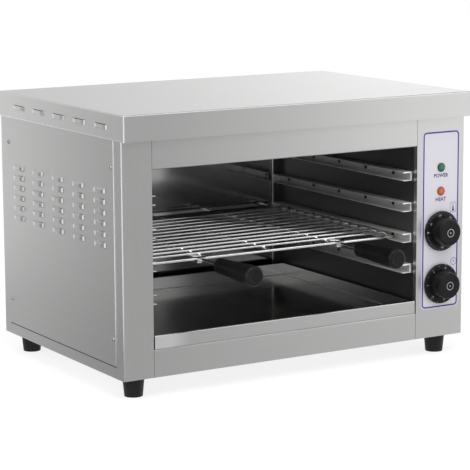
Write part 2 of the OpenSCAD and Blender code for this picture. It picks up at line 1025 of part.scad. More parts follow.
// A quarter bend of the rack's frame at the front right, seen from above
module rack_corner() {
    rotate_extrude(angle = 90)
        translate([rack_corner_r, 0])
            circle(r = rod_r);
}

module wire_rack() {
    straight = rack_half - rack_corner_r;
    color(chrome)
        place()
            translate([cavity_mid, 0, 0]) {
                for (y = [rack_front, rack_rear])
                    rod_x(y, rod_z, -straight, straight, rod_r);
                for (side = [-1, 1])
                    rod_y(
                        side * rack_half, rod_z, rack_front + rack_corner_r,
                        rack_rear - rack_corner_r, rod_r
                    );
                for (side = [0, 1])
                    mirror([side, 0, 0]) {
                        translate([straight, rack_rear - rack_corner_r, rod_z])
                            rack_corner();
                        translate([straight, rack_front + rack_corner_r, rod_z])
                            rotate([0, 0, -90])
                                rack_corner();
                    }
                for (i = [0 : support_count - 1])
                    rod_y(
                        (i - (support_count - 1) / 2) * support_pitch, rod_z,
                        rack_front, rack_rear, rod_r
                    );
                for (i = [0 : wire_count - 1])
                    rod_x(
                        rack_front + wire_first + i * wire_pitch, wire_z,
                        -rack_half, rack_half, wire_r
                    );
            }
}

function handle_x(side) = cavity_mid + side * ((support_count - 1) / 2 * support_pitch + handle_offset);

// A bracket clamped round the front rod, with a tongue that reaches below the first cross wire
module handle_bracket(side) {
    x = handle_x(side);
    color(chrome)
        place()
            difference() {
                union() {
                    span(
                        [x - bracket_w / 2, bracket_front, rod_z - rod_r - bracket_wall],
                        [x + bracket_w / 2, rack_front + rod_r + bracket_wall, tongue_top]
                    );
                    span(
                        [x - bracket_w / 2, rack_front, tongue_top - tongue_t],
                        [x + bracket_w / 2, tongue_back, tongue_top]
                    );
                }
                rod_x(rack_front, rod_z, x - bracket_w, x + bracket_w, rod_r);
            }
}

module handle_stud(side) {
    color(chrome)
        place()
            rod_y(handle_x(side), stud_z, grip_rear - stud_depth, bracket_front, stud_d / 2);
}

// Radius of the grip at a share t of its length, from its rear end to its front end
function grip_r(t) = grip_rear_d / 2 + (grip_front_d - grip_rear_d) / 2 * (0.5 - 0.5 * cos(180 * t));

module handle_grip(side) {
    steps = 16;
    chamfer = 3;
    edge = 5;
    face_r = grip_front_d / 2 - edge;
    swell = [for (i = [0 : steps]) [grip_r(i / steps), chamfer + i / steps * (grip_len - chamfer - edge)]];
    round_end = [for (a = [15 : 15 : 90]) [face_r + edge * cos(a), grip_len - edge + edge * sin(a)]];
    dish = [[face_r - 2, grip_len - 0.8], [0, grip_len - 0.8]];
    color(black_plastic)
        place()
            translate([handle_x(side), grip_rear, stud_z])
                rotate([90, 0, 0])
                    difference() {
                        rotate_extrude()
                            polygon(concat([[0, 0], [grip_r(0) - chamfer, 0]], swell, round_end, dish));
                        translate([0, 0, -over])
                            cylinder(h = stud_depth + over, d = stud_d);
                    }
}

// ---- Crumb tray ----

module crumb_tray() {
    inner_l = tray_l + tray_rim;
    inner_r = tray_r - tray_rim;
    back = tray_d - tray_rim;
    color(steel)
        place() {
            cross_fold(tray_l, tray_r, 0, tray_top, tray_hem, tray_h, true);
            span([inner_l, sheet_t / 2, tray_z], [inner_r, back, tray_z + sheet_t]);
            for (x = [inner_l, inner_r - sheet_t])
                span([x, sheet_t / 2, tray_z], [x + sheet_t, back, tray_top]);
            span([inner_l, back - sheet_t, tray_z], [inner_r, back, tray_top]);
            span([tray_l, tray_hem / 2, tray_top - sheet_t], [inner_l + sheet_t, tray_d, tray_top]);
            span([inner_r - sheet_t, tray_hem / 2, tray_top - sheet_t], [tray_r, tray_d, tray_top]);
            span([tray_l, back - sheet_t, tray_top - sheet_t], [tray_r, tray_d, tray_top]);
        }
}

// ---- Heating elements ----

function element_y(index) = element_margin + index * element_pitch;

// Repeats its children at both legs of all three elements
module element_legs() {
    for (index = [0 : 2])
        for (side = [-1, 1])
            translate([0, element_y(index) + side * element_leg_gap / 2, 0])
                children();
}

// One hairpin: two legs, a bend at the left, a plate brazed on outside the right wall, two terminals
module heating_element(index) {
    y = element_y(index);
    plate_half_y = element_leg_gap / 2 + element_r + element_plate_margin;
    plate_half_z = element_r + element_plate_margin;
    wall_out = wall_r + sheet_t;
    color(sheath)
        place() {
            translate([element_bend_x, y, element_z])
                rotate([0, 0, 90])
                    rotate_extrude(angle = 180)
                        translate([element_bend_r, 0])
                            circle(r = element_r);
            for (side = [-1, 1]) {
                leg_y = y + side * element_bend_r;
                rod_x(leg_y, element_z, element_bend_x, element_leg_x, element_r);
                rod_x(leg_y, element_z, element_leg_x, terminal_tip, terminal_d / 2);
            }
            span(
                [wall_out, y - plate_half_y, element_z - plate_half_z],
                [wall_out + element_plate_t, y + plate_half_y, element_z + plate_half_z]
            );
        }
}

// Two strips that hang from the ceiling and hold the elements' legs
module element_hangers() {
    front = element_y(0) - element_leg_gap / 2 - hanger_margin;
    back = element_y(2) + element_leg_gap / 2 + hanger_margin;
    low = element_z - hanger_hang;
    color(inner_steel)
        place()
            for (side = [-1, 1]) {
                x = cavity_mid + side * hanger_spacing / 2;
                difference() {
                    union() {
                        span([x, front, low], [x + hanger_t, back, ceil_z]);
                        span([x, front, ceil_z - hanger_t], [x + hanger_foot, back, ceil_z]);
                    }
                    element_legs()
                        rod_x(0, element_z, x - over, x + hanger_t + over, element_r + element_clearance);
                }
            }
}

// ---- Controls ----

module control_label() {
    low = base_z + label_mid - label_h / 2;
    color(label_white)
        place()
            difference() {
                translate([column_x - label_w / 2, 0, low])
                    rotate([90, 0, 0])
                        linear_extrude(height = label_t) {
                            translate([label_r, 0])
                                square([label_w - 2 * label_r, label_h]);
                            translate([0, label_r])
                                square([label_w, label_h - 2 * label_r]);
                            for (x = [label_r, label_w - label_r])
                                for (y = [label_r, label_h - label_r])
                                    translate([x, y])
                                        circle(r = label_r);
                        }
                panel_holes(over);
            }
}

// A lens: a short drum with a domed face, seated on the label
module lamp_lens(z) {
    rim = 0.4 * lens_out;
    dome_out = lens_out - rim;
    dome_r = (pow(lens_d / 2, 2) + pow(dome_out, 2)) / (2 * dome_out);
    reach = asin(lens_d / 2 / dome_r);
    steps = 10;
    dome = [for (i = [0 : steps]) [
        dome_r * sin(reach * (1 - i / steps)),
        lens_out - dome_r + dome_r * cos(reach * (1 - i / steps))
    ]];
    place()
        translate([column_x, -label_t, z])
            rotate([90, 0, 0])
                rotate_extrude()
                    polygon(concat([[0, 0], [lens_d / 2, 0]], dome));
}

module power_lamp_lens() {
    color(lens_green)
        lamp_lens(power_z);
}

module heat_lamp_lens() {
    color(lens_amber)
        lamp_lens(heat_z);
}

module lamp_housings() {
    color(black_plastic)
        place()
            for (z = [power_z, heat_z]) {
                rod_y(column_x, z, -label_t, sheet_t + lamp_len, lamp_d / 2);
                rod_y(column_x, z, sheet_t, sheet_t + lamp_ring_t, lamp_ring_d / 2);
            }
}

// A control behind the panel: its box, its bush through the panel and the bore for its shaft
module control_body(z, width, height, depth) {
    place()
        difference() {
            union() {
                span(
                    [column_x - width / 2, sheet_t, z - height / 2],
                    [column_x + width / 2, sheet_t + depth, z + height / 2]
                );
                rod_y(column_x, z, -bush_out, sheet_t + over, bush_r);
            }
            rod_y(column_x, z, -bush_out - over, sheet_t + bush_depth, shaft_r + shaft_clearance);
            for (side = [-1, 1])
                rod_y(
                    column_x + side * control_screw_gap / 2, z, sheet_t - over,
                    control_screw_len - label_t, control_screw_d / 2
                );
        }
}

module thermostat_body() {
    color(ceramic)
        control_body(thermostat_z, thermostat_w, thermostat_h, thermostat_d);
}

module timer_body() {
    color(ceramic)
        control_body(timer_z, timer_w, timer_w, timer_d);
}

module control_shaft(z) {
    color(chrome)
        place()
            rod_y(column_x, z, shaft_front, sheet_t + bush_depth - shaft_end_gap, shaft_r);
}

// A knob moulded in one piece: a flat skirt that carries the scale, and a tapered cap
module control_knob(z) {
    arc = [for (a = [0 : 15 : 90]) [
        cap_face_d / 2 - cap_edge_r + cap_edge_r * cos(a),
        skirt_t + cap_len - cap_edge_r + cap_edge_r * sin(a)
    ]];
    lip = 1;
    color(black_plastic)
        place()
            translate([column_x, -skirt_gap, z])
                rotate([90, 0, 0])
                    difference() {
                        rotate_extrude()
                            polygon(concat(
                                [
                                    [0, 0], [skirt_d / 2, 0], [skirt_d / 2, skirt_t - lip],
                                    [skirt_d / 2 - lip, skirt_t], [cap_base_d / 2, skirt_t]
                                ],
                                arc, [[0, skirt_t + cap_len]]
                            ));
                        translate([0, 0, -over])
                            cylinder(h = -shaft_front - skirt_gap + over, r = shaft_r);
                    }
}

// A flat ring with a dot in it, set on the knob's face
module knob_badge(z) {
    ring_w = 0.09 * badge_d;
    color(chrome)
        place()
            translate([column_x, cap_front, z])
                rotate([90, 0, 0]) {
                    cylinder(h = badge_out / 2, d = badge_d);
                    difference() {
                        cylinder(h = badge_out, d = badge_d);
                        translate([0, 0, -over])
                            cylinder(h = badge_out + 2 * over, d = badge_d - 2 * ring_w);
                    }
                }
}

module thermostat_probe() {
    x = column_x + thermostat_w / 5;
    color(chrome)
        place() {
            rod_x(probe_y, probe_z, probe_right - probe_len, probe_right, probe_d / 2);
            wire_run([
                [probe_right - 1, probe_y, probe_z],
                [x, probe_y, probe_z],
                [x, probe_y, thermostat_z + thermostat_h],
                [x, thermostat_d / 2, thermostat_z + thermostat_h],
                [x, thermostat_d / 2, thermostat_z + thermostat_h / 2]
            ], capillary_d / 2, lead_bend);
        }
}

// Two saddles that hold the probe to the ceiling
module probe_clips() {
    outer = probe_d / 2 + probe_clip_t;
    color(inner_steel)
        place()
            for (share = [0.25, 0.75]) {
                x = probe_right - share * probe_len;
                difference() {
                    union() {
                        rod_x(probe_y, probe_z, x - probe_clip_w / 2, x + probe_clip_w / 2, outer);
                        span(
                            [x - probe_clip_w / 2, probe_y - 2 * outer, ceil_z - probe_clip_t],
                            [x + probe_clip_w / 2, probe_y + 2 * outer, ceil_z]
                        );
                    }
                    rod_x(probe_y, probe_z, x - probe_clip_w, x + probe_clip_w, probe_d / 2);
                    span(
                        [x - probe_clip_w, probe_y - outer, ceil_z],
                        [x + probe_clip_w, probe_y + outer, lid_top]
                    );
                }
            }
}

module control_screws() {
    color(chrome)
        place()
            for (z = [thermostat_z, timer_z])
                for (side = [-1, 1]) {
                    x = column_x + side * control_screw_gap / 2;
                    rod_y(x, z, -label_t - control_screw_head_h, -label_t, control_screw_head_d / 2);
                    rod_y(x, z, -label_t - over / 4, control_screw_len - label_t, control_screw_d / 2);
                }
}

// ---- Wiring ----

module terminal_block() {
    ways = 5;
    pitch = block_len / ways;
    color(ceramic)
        place()
            difference() {
                span(
                    [block_x, block_front, pan_top],
                    [block_x + block_w, block_front + block_len, pan_top + block_h]
                );
                for (i = [0 : ways - 1])
                    for (x = [block_x + block_w / 4, block_x + 3 * block_w / 4])
                        translate([x, block_front + (i + 0.5) * pitch, pan_top + block_h / 2])
                            cylinder(h = block_h, d = 0.35 * pitch);
            }
}

// The leads between the block, the timer, the thermostat, the lamps and the elements
module wiring() {
    low = pan_top + block_h / 2;
    block_top = pan_top + block_h;
    timer_back = sheet_t + timer_d;
    thermostat_back = sheet_t + thermostat_d;
    lamp_back = sheet_t + lamp_len;
    first_leg = element_y(0) - element_leg_gap / 2;
    last_leg = element_y(2) + element_leg_gap / 2;
    block_mid = block_x + block_w / 2;
    outer = terminal_tip + 2 * lead_bend;
    right = column_x + timer_w / 5;
    lamp_lead_x = block_mid + 2 * lead_d;
    color(lead_red)
        place() {
            wire_run([
                [block_mid, block_front, low], [block_mid, timer_back + timer_lead_reach, low],
                [block_mid, timer_back + timer_lead_reach, timer_z], [block_mid, timer_back, timer_z]
            ], lead_r, lead_bend);
            wire_run([
                [lamp_lead_x, block_front, low], [lamp_lead_x, timer_back + lamp_lead_reach, low],
                [lamp_lead_x, timer_back + lamp_lead_reach, power_z], [lamp_lead_x, lamp_back, power_z]
            ], lead_r, lead_bend);
            wire_run([
                [right, timer_back, timer_z + lead_rise],
                [right, timer_back + link_lead_reach, timer_z + lead_rise],
                [right, timer_back + link_lead_reach, thermostat_z - lead_rise],
                [right, thermostat_back, thermostat_z - lead_rise]
            ], lead_r, lead_bend);
            wire_run([
                [column_x, thermostat_back, thermostat_z + lead_rise],
                [column_x, thermostat_back + heat_lead_reach, thermostat_z + lead_rise],
                [column_x, thermostat_back + heat_lead_reach, heat_z], [column_x, lamp_back, heat_z]
            ], lead_r, lead_bend);
            wire_run([
                [outer, thermostat_back, thermostat_z], [outer, first_leg, thermostat_z],
                [outer, first_leg, element_z], [terminal_tip, first_leg, element_z]
            ], lead_r, lead_bend);
            for (index = [0, 1])
                wire_run([
                    [terminal_tip, element_y(index) + element_bend_r, element_z],
                    [outer, element_y(index) + element_bend_r, element_z],
                    [outer, element_y(index + 1) - element_bend_r, element_z],
                    [terminal_tip, element_y(index + 1) - element_bend_r, element_z]
                ], lead_r, lead_bend);
            wire_run([
                [terminal_tip, last_leg, element_z], [block_mid, last_leg, element_z],
                [block_mid, last_leg, block_top]
            ], lead_r, lead_bend);
        }
}

module cable_gland() {
    dome_end = casing_d + gland_out;
    color(black_plastic)
        place()
            difference() {
                union() {
                    hex_y(gland_x, gland_z, casing_d, casing_d + gland_hex_t, gland_hex_d);
                    rod_y(gland_x, gland_z, casing_d, dome_end, 0.4 * gland_hex_d);
                    rod_y(gland_x, gland_z, rear_face - gland_tail, casing_d + over, gland_thread_d / 2);
                }
                rod_y(gland_x, gland_z, rear_face - gland_tail - over, dome_end + over, gland_bore_d / 2);
            }
}

module gland_nut() {
    color(black_plastic)
        place()
            difference() {
                hex_y(gland_x, gland_z, rear_face - gland_nut_t, rear_face, gland_hex_d);
                rod_y(
                    gland_x, gland_z, rear_face - gland_nut_t - over, rear_face + over,
                    gland_thread_d / 2
                );
            }
}

// ---- Feet and screws ----

module foot_positions() {
    for (x = [left_x + foot_inset_x, right_x - foot_inset_x])
        for (y = [foot_inset_y, casing_d - foot_inset_y])
            translate([x, y, 0])
                children();
}

module feet() {
    color(rubber)
        place()
            foot_positions()
                difference() {
                    cylinder(h = foot_h, d1 = foot_base_d, d2 = foot_top_d);
                    translate([0, 0, foot_h - foot_bolt_depth])
                        cylinder(h = foot_bolt_depth + over, d = foot_bolt_d);
                }
}

module foot_bolts() {
    head_h = 0.6 * foot_bolt_d;
    color(chrome)
        place()
            foot_positions() {
                translate([0, 0, foot_h - foot_bolt_depth])
                    cylinder(h = foot_bolt_depth + sheet_t + over, d = foot_bolt_d);
                translate([0, 0, pan_top])
                    cylinder(h = head_h, d = 1.9 * foot_bolt_d, $fn = 6);
            }
}

// One casing screw along +X, its head's underside at x = 0
module casing_screw() {
    rotate([0, 90, 0]) {
        cylinder(h = screw_head_h, d1 = screw_head_d, d2 = 0.75 * screw_head_d);
        translate([0, 0, -screw_len])
            cylinder(h = screw_len + over / 4, d = screw_d);
    }
}

module casing_screws() {
    color(chrome)
        place() {
            both_sides()
                for (y = [screw_y, casing_d - screw_y])
                    for (rise = [cover_screw_low, cover_screw_top])
                        translate([cover_x, y, base_z + rise])
                            casing_screw();
            for (x = lid_screw_x)
                translate([x, casing_d + sheet_t, lid_screw_z])
                    rotate([0, 0, 90])
                        casing_screw();
        }
}

base_pan();
left_front_post();
left_rear_post();
right_rear_post();
control_panel();
front_sill();
lintel();
rear_panel();
left_side_cover();
right_side_cover();
lid();
cavity_left_wall();
cavity_right_wall();
cavity_floor();
cavity_ceiling();
insulation_blanket();
control_heat_shield();
rail_left(1);  // rail_left_1
rail_left(2);  // rail_left_2
rail_left(3);  // rail_left_3
rail_left(4);  // rail_left_4
rail_right(1);  // rail_right_1
rail_right(2);  // rail_right_2
rail_right(3);  // rail_right_3
rail_right(4);  // rail_right_4
rail_rivets();
wire_rack();
handle_bracket(-1);  // handle_bracket_left
handle_bracket(1);  // handle_bracket_right
handle_stud(-1);  // handle_stud_left
handle_stud(1);  // handle_stud_right
handle_grip(-1);  // handle_grip_left
handle_grip(1);  // handle_grip_right
crumb_tray();
heating_element(0);  // heating_element_front
heating_element(1);  // heating_element_middle
heating_element(2);  // heating_element_rear
element_hangers();
control_label();
power_lamp_lens();
heat_lamp_lens();
lamp_housings();
thermostat_body();
control_shaft(thermostat_z);  // thermostat_shaft
control_knob(thermostat_z);  // thermostat_knob
knob_badge(thermostat_z);  // thermostat_badge
thermostat_probe();
probe_clips();
timer_body();
control_shaft(timer_z);  // timer_shaft
control_knob(timer_z);  // timer_knob
knob_badge(timer_z);  // timer_badge
control_screws();
terminal_block();
wiring();
cable_gland();
gland_nut();
feet();
foot_bolts();
casing_screws();
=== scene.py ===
"""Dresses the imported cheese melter: brushed sheet, printed controls, screws and a plain studio.

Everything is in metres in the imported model's frame: +X to the right, +Y to the back, +Z up, with
the origin below the middle of the whole object.
"""

import json
import logging
import math
from dataclasses import dataclass, field
from enum import Enum
from typing import Any, Callable, Iterable, Optional, Sequence, Union

import bmesh
import bpy
from mathutils import Matrix, Vector

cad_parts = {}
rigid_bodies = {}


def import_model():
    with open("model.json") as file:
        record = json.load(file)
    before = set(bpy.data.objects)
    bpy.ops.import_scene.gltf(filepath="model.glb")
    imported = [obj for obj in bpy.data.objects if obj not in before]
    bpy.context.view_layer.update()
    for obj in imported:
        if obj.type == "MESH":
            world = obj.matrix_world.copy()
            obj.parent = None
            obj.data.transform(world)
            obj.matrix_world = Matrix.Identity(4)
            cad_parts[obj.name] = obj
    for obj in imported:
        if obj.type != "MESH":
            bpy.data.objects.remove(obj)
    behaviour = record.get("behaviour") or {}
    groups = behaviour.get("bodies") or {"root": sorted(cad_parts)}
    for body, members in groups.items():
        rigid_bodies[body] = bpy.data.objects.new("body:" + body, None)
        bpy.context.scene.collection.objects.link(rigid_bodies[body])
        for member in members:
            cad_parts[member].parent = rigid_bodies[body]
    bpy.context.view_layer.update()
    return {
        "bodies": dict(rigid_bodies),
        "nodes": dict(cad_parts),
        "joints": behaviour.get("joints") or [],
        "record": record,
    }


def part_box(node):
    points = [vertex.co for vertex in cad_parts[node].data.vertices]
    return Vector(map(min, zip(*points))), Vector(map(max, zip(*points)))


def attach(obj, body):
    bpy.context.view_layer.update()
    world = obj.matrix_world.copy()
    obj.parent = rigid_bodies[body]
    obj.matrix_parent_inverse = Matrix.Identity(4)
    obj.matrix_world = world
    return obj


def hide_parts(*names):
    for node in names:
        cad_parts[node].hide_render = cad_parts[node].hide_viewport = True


log = logging.getLogger("cheese_melter")

Colour = tuple[float, float, float]
Point2 = tuple[float, float]
Point3 = tuple[float, float, float]
Mesh = bpy.types.Mesh
Material = bpy.types.Material
Part = tuple[Mesh, Matrix]
Sockets = dict[str, Any]


# ---- Shader building ----


class Signal:
    """A node's output that takes part in Python arithmetic by adding Math nodes."""

    def __init__(self, graph: "Graph", socket: bpy.types.NodeSocket) -> None:
        """Keeps the graph and the output socket."""
        self.graph = graph
        self.socket = socket

    def _math(self, operation: str, *values: "Term", clamp: bool = False) -> "Signal":
        """Adds one Math node.

        Args:
            operation: The Math node's operation.
            values: Its inputs in order.
            clamp: Whether the result is kept between 0 and 1.

        Returns:
            The node's result.
        """
        settings = {"operation": operation, "use_clamp": clamp}
        inputs = dict(enumerate(values))
        return self.graph.node("ShaderNodeMath", settings, inputs)

    def __add__(self, other: "Term") -> "Signal":
        """The sum."""
        return self._math("ADD", self, other)

    def __radd__(self, other: "Term") -> "Signal":
        """The sum, with the signal on the right."""
        return self._math("ADD", other, self)

    def __sub__(self, other: "Term") -> "Signal":
        """The difference."""
        return self._math("SUBTRACT", self, other)

    def __rsub__(self, other: "Term") -> "Signal":
        """The difference, with the signal on the right."""
        return self._math("SUBTRACT", other, self)

    def __mul__(self, other: "Term") -> "Signal":
        """The product."""
        return self._math("MULTIPLY", self, other)

    def __rmul__(self, other: "Term") -> "Signal":
        """The product, with the signal on the right."""
        return self._math("MULTIPLY", other, self)

    def __truediv__(self, other: "Term") -> "Signal":
        """The quotient."""
        return self._math("DIVIDE", self, other)

    def __abs__(self) -> "Signal":
        """The size without its sign."""
        return self._math("ABSOLUTE", self)

    def above(self, edge: float) -> "Signal":
        """1 where the signal is greater than edge, and 0 elsewhere."""
        return self._math("GREATER_THAN", self, edge)

    def clamped(self) -> "Signal":
        """The signal kept between 0 and 1."""
        return self._math("ADD", self, 0.0, clamp=True)

    def greatest(self, other: "Term") -> "Signal":
        """The greater of two signals."""
        return self._math("MAXIMUM", self, other)


Term = Union[Signal, float]


class Graph:
    """One material or world whose nodes are added by a single method."""

    def __init__(self, owner: Union[Material, bpy.types.World]) -> None:
        """Empties the owner's node tree and keeps it.

        Args:
            owner: The material or world that is being built.
        """
        owner.use_nodes = True
        self.tree = owner.node_tree
        self.tree.nodes.clear()

    def node(
        self,
        kind: str,
        settings: Optional[dict[str, Any]] = None,
        inputs: Optional[dict[Union[int, str], Any]] = None,
        output: Union[int, str] = 0,
    ) -> Signal:
        """Adds a node, sets it up and feeds it.

        Args:
            kind: The node's type name.
            settings: Its properties; "stops" holds a ramp's list of (place, grey level).
            inputs: Values or signals by socket name or number.
            output: The output that is returned.

        Returns:
            The chosen output as a signal.
        """
        made = self.tree.nodes.new(kind)
        for name, value in (settings or {}).items():
            if name == "stops":
                self._set_stops(made, value)
            else:
                setattr(made, name, value)
        for name, value in (inputs or {}).items():
            socket = made.inputs[name]
            if isinstance(value, Signal):
                self.tree.links.new(value.socket, socket)
            else:
                socket.default_value = value
        return Signal(self, made.outputs[output])

    @staticmethod
    def _set_stops(ramp: bpy.types.Node, stops: Sequence[Point2]) -> None:
        """Gives a ramp its grey stops.

        Args:
            ramp: The Color Ramp node.
            stops: Pairs of place and grey level.
        """
        elements = ramp.color_ramp.elements
        while len(elements) < len(stops):
            elements.new(1.0)
        for element, (place, level) in zip(elements, stops):
            element.position = place
            element.color = (level, level, level, 1.0)

    def place(self) -> Signal:
        """The surface point in the object's own frame."""
        return self.node("ShaderNodeTexCoord", output="Object")

    def scaled(self, vector: Signal, scale: Sequence[float]) -> Signal:
        """A vector multiplied by another, axis by axis.

        Args:
            vector: The vector to scale.
            scale: The three factors.

        Returns:
            The scaled vector.
        """
        return self.node(
            "ShaderNodeVectorMath", {"operation": "MULTIPLY"}, {0: vector, 1: tuple(scale)}
        )

    def axes(self, vector: Signal) -> tuple[Signal, Signal, Signal]:
        """The three parts of a vector.

        Args:
            vector: The vector to take apart.

        Returns:
            Its x, y and z.
        """
        split = self.node("ShaderNodeSeparateXYZ", inputs={0: vector})
        outputs = split.socket.node.outputs
        return tuple(Signal(self, outputs[i]) for i in range(3))

    def noise(self, vector: Signal, detail: float, roughness: float) -> Signal:
        """Noise between 0 and 1 with its scale already in the vector.

        Args:
            vector: The point that is looked up.
            detail: How many finer layers are added.
            roughness: How strong those layers are.

        Returns:
            The noise.
        """
        return self.node(
            "ShaderNodeTexNoise",
            inputs={"Vector": vector, "Scale": 1.0, "Detail": detail, "Roughness": roughness},
        )

    def grain(
        self, scale: Union[float, Sequence[float]], detail: float, roughness: float
    ) -> Signal:
        """Noise between 0 and 1 over the surface.

        Args:
            scale: Its frequency, or three for X, Y and Z.
            detail: How many finer layers are added.
            roughness: How strong those layers are.

        Returns:
            The noise.
        """
        factors = (scale,) * 3 if isinstance(scale, float) else scale
        return self.noise(self.scaled(self.place(), factors), detail, roughness)

    def mix(self, factor: Term, first: Any, second: Any) -> Signal:
        """A colour between two colours.

        Args:
            factor: 0 gives the first and 1 the second.
            first: A colour or a signal.
            second: A colour or a signal.

        Returns:
            The mixed colour.
        """
        return self.node(
            "ShaderNodeMix",
            {"data_type": "RGBA"},
            {0: factor, 6: opaque(first), 7: opaque(second)},
            output=2,
        )

    def bump(self, height: Signal, strength: float, distance: float) -> Signal:
        """A normal that follows a height.

        Args:
            height: The height signal.
            strength: The bump's strength.
            distance: The real height of a signal of 1, in metres.

        Returns:
            The bent normal.
        """
        return self.node(
            "ShaderNodeBump",
            inputs={"Height": height, "Strength": strength, "Distance": distance},
        )

    def surface(self, inputs: dict[str, Any]) -> None:
        """Closes a material with one Principled shader.

        Args:
            inputs: The shader's sockets.
        """
        shader = self.node("ShaderNodeBsdfPrincipled", inputs=inputs)
        self.node_output(shader)

    def node_output(self, shader: Signal) -> None:
        """Links a shader to the material's output."""
        made = self.tree.nodes.new("ShaderNodeOutputMaterial")
        self.tree.links.new(shader.socket, made.inputs["Surface"])


def opaque(colour: Any) -> Any:
    """A colour with its alpha, or the signal as it is."""
    return colour if isinstance(colour, Signal) else (*colour, 1.0)


def new_graph(name: str) -> tuple[Material, Graph]:
    """A new material and its graph.

    Args:
        name: The material's name.

    Returns:
        The material and the graph that fills it.
    """
    material = bpy.data.materials.new(name)
    return material, Graph(material)


# ---- Finishes ----


class Grain(Enum):
    """The way in which a sheet was brushed."""

    ACROSS = "along X"
    DEEP = "along Y"
    UPRIGHT = "along Z"
    FOLDED = "along X, turning down at the side folds"


@dataclass(frozen=True)
class Finish:
    """A finish that makes a material of its own name."""

    name: str

    def build(self) -> Material:
        """Makes the material.

        Returns:
            The finished material.
        """
        material, graph = new_graph(self.name)
        graph.surface(self.sockets(graph))
        return material

    def sockets(self, graph: Graph) -> Sockets:
        """What the shader is fed: each finish gives its own."""
        raise NotImplementedError(self.name)


@dataclass(frozen=True)
class BrushedSheet(Finish):
    """Stainless sheet with a brushed grain, a faint cloudiness, fine scratches and, where asked,
    painted light on its side faces.
    """

    grain: Grain
    colour: Colour = (0.66, 0.66, 0.655)
    roughness: float = 0.30
    cloud: float = 0.05
    scratch_height: float = 0.00002
    along: float = 14.0
    across: float = 1100.0
    painted_side_light: float = 1.0

    def _stretch(self, graph: Graph, fine: float, coarse: float) -> Signal:
        """The surface point stretched along the grain.

        Args:
            graph: The graph that is built.
            fine: Frequency across the grain.
            coarse: Frequency along the grain.

        Returns:
            The stretched point.
        """
        place = graph.place()
        if self.grain is Grain.ACROSS:
            return graph.scaled(place, (coarse, fine, fine))
        if self.grain is Grain.DEEP:
            return graph.scaled(place, (fine, coarse, fine))
        if self.grain is Grain.UPRIGHT:
            return graph.scaled(place, (fine, fine, coarse))
        x, y, z = graph.axes(place)
        upright = fine + self._on_side(graph) * (coarse - fine)
        return graph.node(
            "ShaderNodeCombineXYZ", inputs={0: x * coarse, 1: y * fine, 2: z * upright}
        )

    @staticmethod
    def _on_side(graph: Graph) -> Signal:
        """1 on the faces that look left or right, and 0 elsewhere."""
        facing = graph.axes(graph.node("ShaderNodeNewGeometry", output="Normal"))[0]
        return abs(facing).above(0.7)

    def sockets(self, graph: Graph) -> Sockets:
        """What the shader is fed.

        Args:
            graph: The material's graph.

        Returns:
            Values and signals by socket name.
        """
        scratches = graph.noise(self._stretch(graph, self.across, self.along), 3.0, 0.65)
        bands = graph.noise(self._stretch(graph, self.across / 9, self.along / 5), 2.0, 0.5)
        cloud = graph.grain(5.0, 2.0, 0.5)
        tone = (scratches - 0.5) * 0.10 + (bands - 0.5) * 0.08 + (cloud - 0.5) * self.cloud
        dark = tuple(0.82 * c for c in self.colour)
        light = tuple(min(1.0, 1.18 * c) for c in self.colour)
        base = graph.mix((tone + 0.5).clamped(), dark, light)
        # Faces that look left or right get a brighter base colour: painted light.
        if self.painted_side_light != 1.0:
            gain = self._on_side(graph) * (self.painted_side_light - 1.0) + 1.0
            base = graph.node("ShaderNodeVectorMath", {"operation": "SCALE"}, {0: base, 3: gain})
        return {
            "Base Color": base,
            "Metallic": 1.0,
            "Roughness": (scratches - 0.5) * 0.12 + (cloud - 0.5) * 0.05 + self.roughness,
            "Normal": graph.bump(scratches, 0.35, self.scratch_height),
        }


@dataclass(frozen=True)
class MirrorSheet(Finish):
    """Bright inner sheet that mirrors its surroundings, with a light haze from heat."""

    colour: Colour
    roughness: float = 0.10
    haze: Colour = (0.20, 0.17, 0.14)
    haze_share: float = 0.25

    def sockets(self, graph: Graph) -> Sockets:
        """What the shader is fed.

        Args:
            graph: The material's graph.

        Returns:
            Values and signals by socket name.
        """
        patches = graph.grain(7.0, 3.0, 0.55)
        scratches = graph.grain((60.0, 60.0, 900.0), 2.0, 0.6)
        share = ((patches - 0.45) * 2.0 * self.haze_share).clamped()
        return {
            "Base Color": graph.mix(share, self.colour, self.haze),
            "Metallic": 1.0,
            "Roughness": (patches - 0.5) * 0.10 + (scratches - 0.5) * 0.06 + self.roughness,
            "Normal": graph.bump(scratches, 0.25, 0.00001),
        }


@dataclass(frozen=True)
class TraySheet(Finish):
    """The tray's sheet: walls with painted light, bright at the left end and fading to a painted
    shade towards the right, and a dark grained floor.
    """

    wall: Colour = (0.97, 0.97, 0.97)
    painted_shade: Colour = (0.68, 0.68, 0.675)
    floor: Colour = (0.56, 0.56, 0.555)
    edge_tint: float = 0.54
    shade_fade: Point2 = (-0.222, -0.190)
    roughness: float = 0.20

    def sockets(self, graph: Graph) -> Sockets:
        """What the shader is fed.

        Args:
            graph: The material's graph.

        Returns:
            Values and signals by socket name.
        """
        place = graph.place()
        x = graph.axes(place)[0]
        grain = graph.grain((9.0, 420.0, 420.0), 3.0, 0.6)
        patches = graph.grain(8.0, 2.0, 0.5)
        up = graph.axes(graph.node("ShaderNodeNewGeometry", output="Normal"))[2]
        lying = abs(up).above(0.7)
        # The walls' colour fades from painted light at the left end to painted shade at the right.
        away = ((x - self.shade_fade[0]) / (self.shade_fade[1] - self.shade_fade[0])).clamped()
        painted_walls = graph.mix(away, self.wall, self.painted_shade)
        worn = tuple(1.7 * c for c in self.floor)
        base = graph.mix(((grain - 0.35) * 1.6).clamped(), self.floor, worn)
        return {
            "Base Color": graph.mix(lying, painted_walls, base),
            "Metallic": 1.0,
            "Roughness": (patches - 0.5) * 0.06 + lying * (grain - 0.9) * 0.16 + self.roughness,
            "Specular Tint": opaque((self.edge_tint,) * 3),
            "Normal": graph.bump(grain, 0.3, 0.00001),
        }


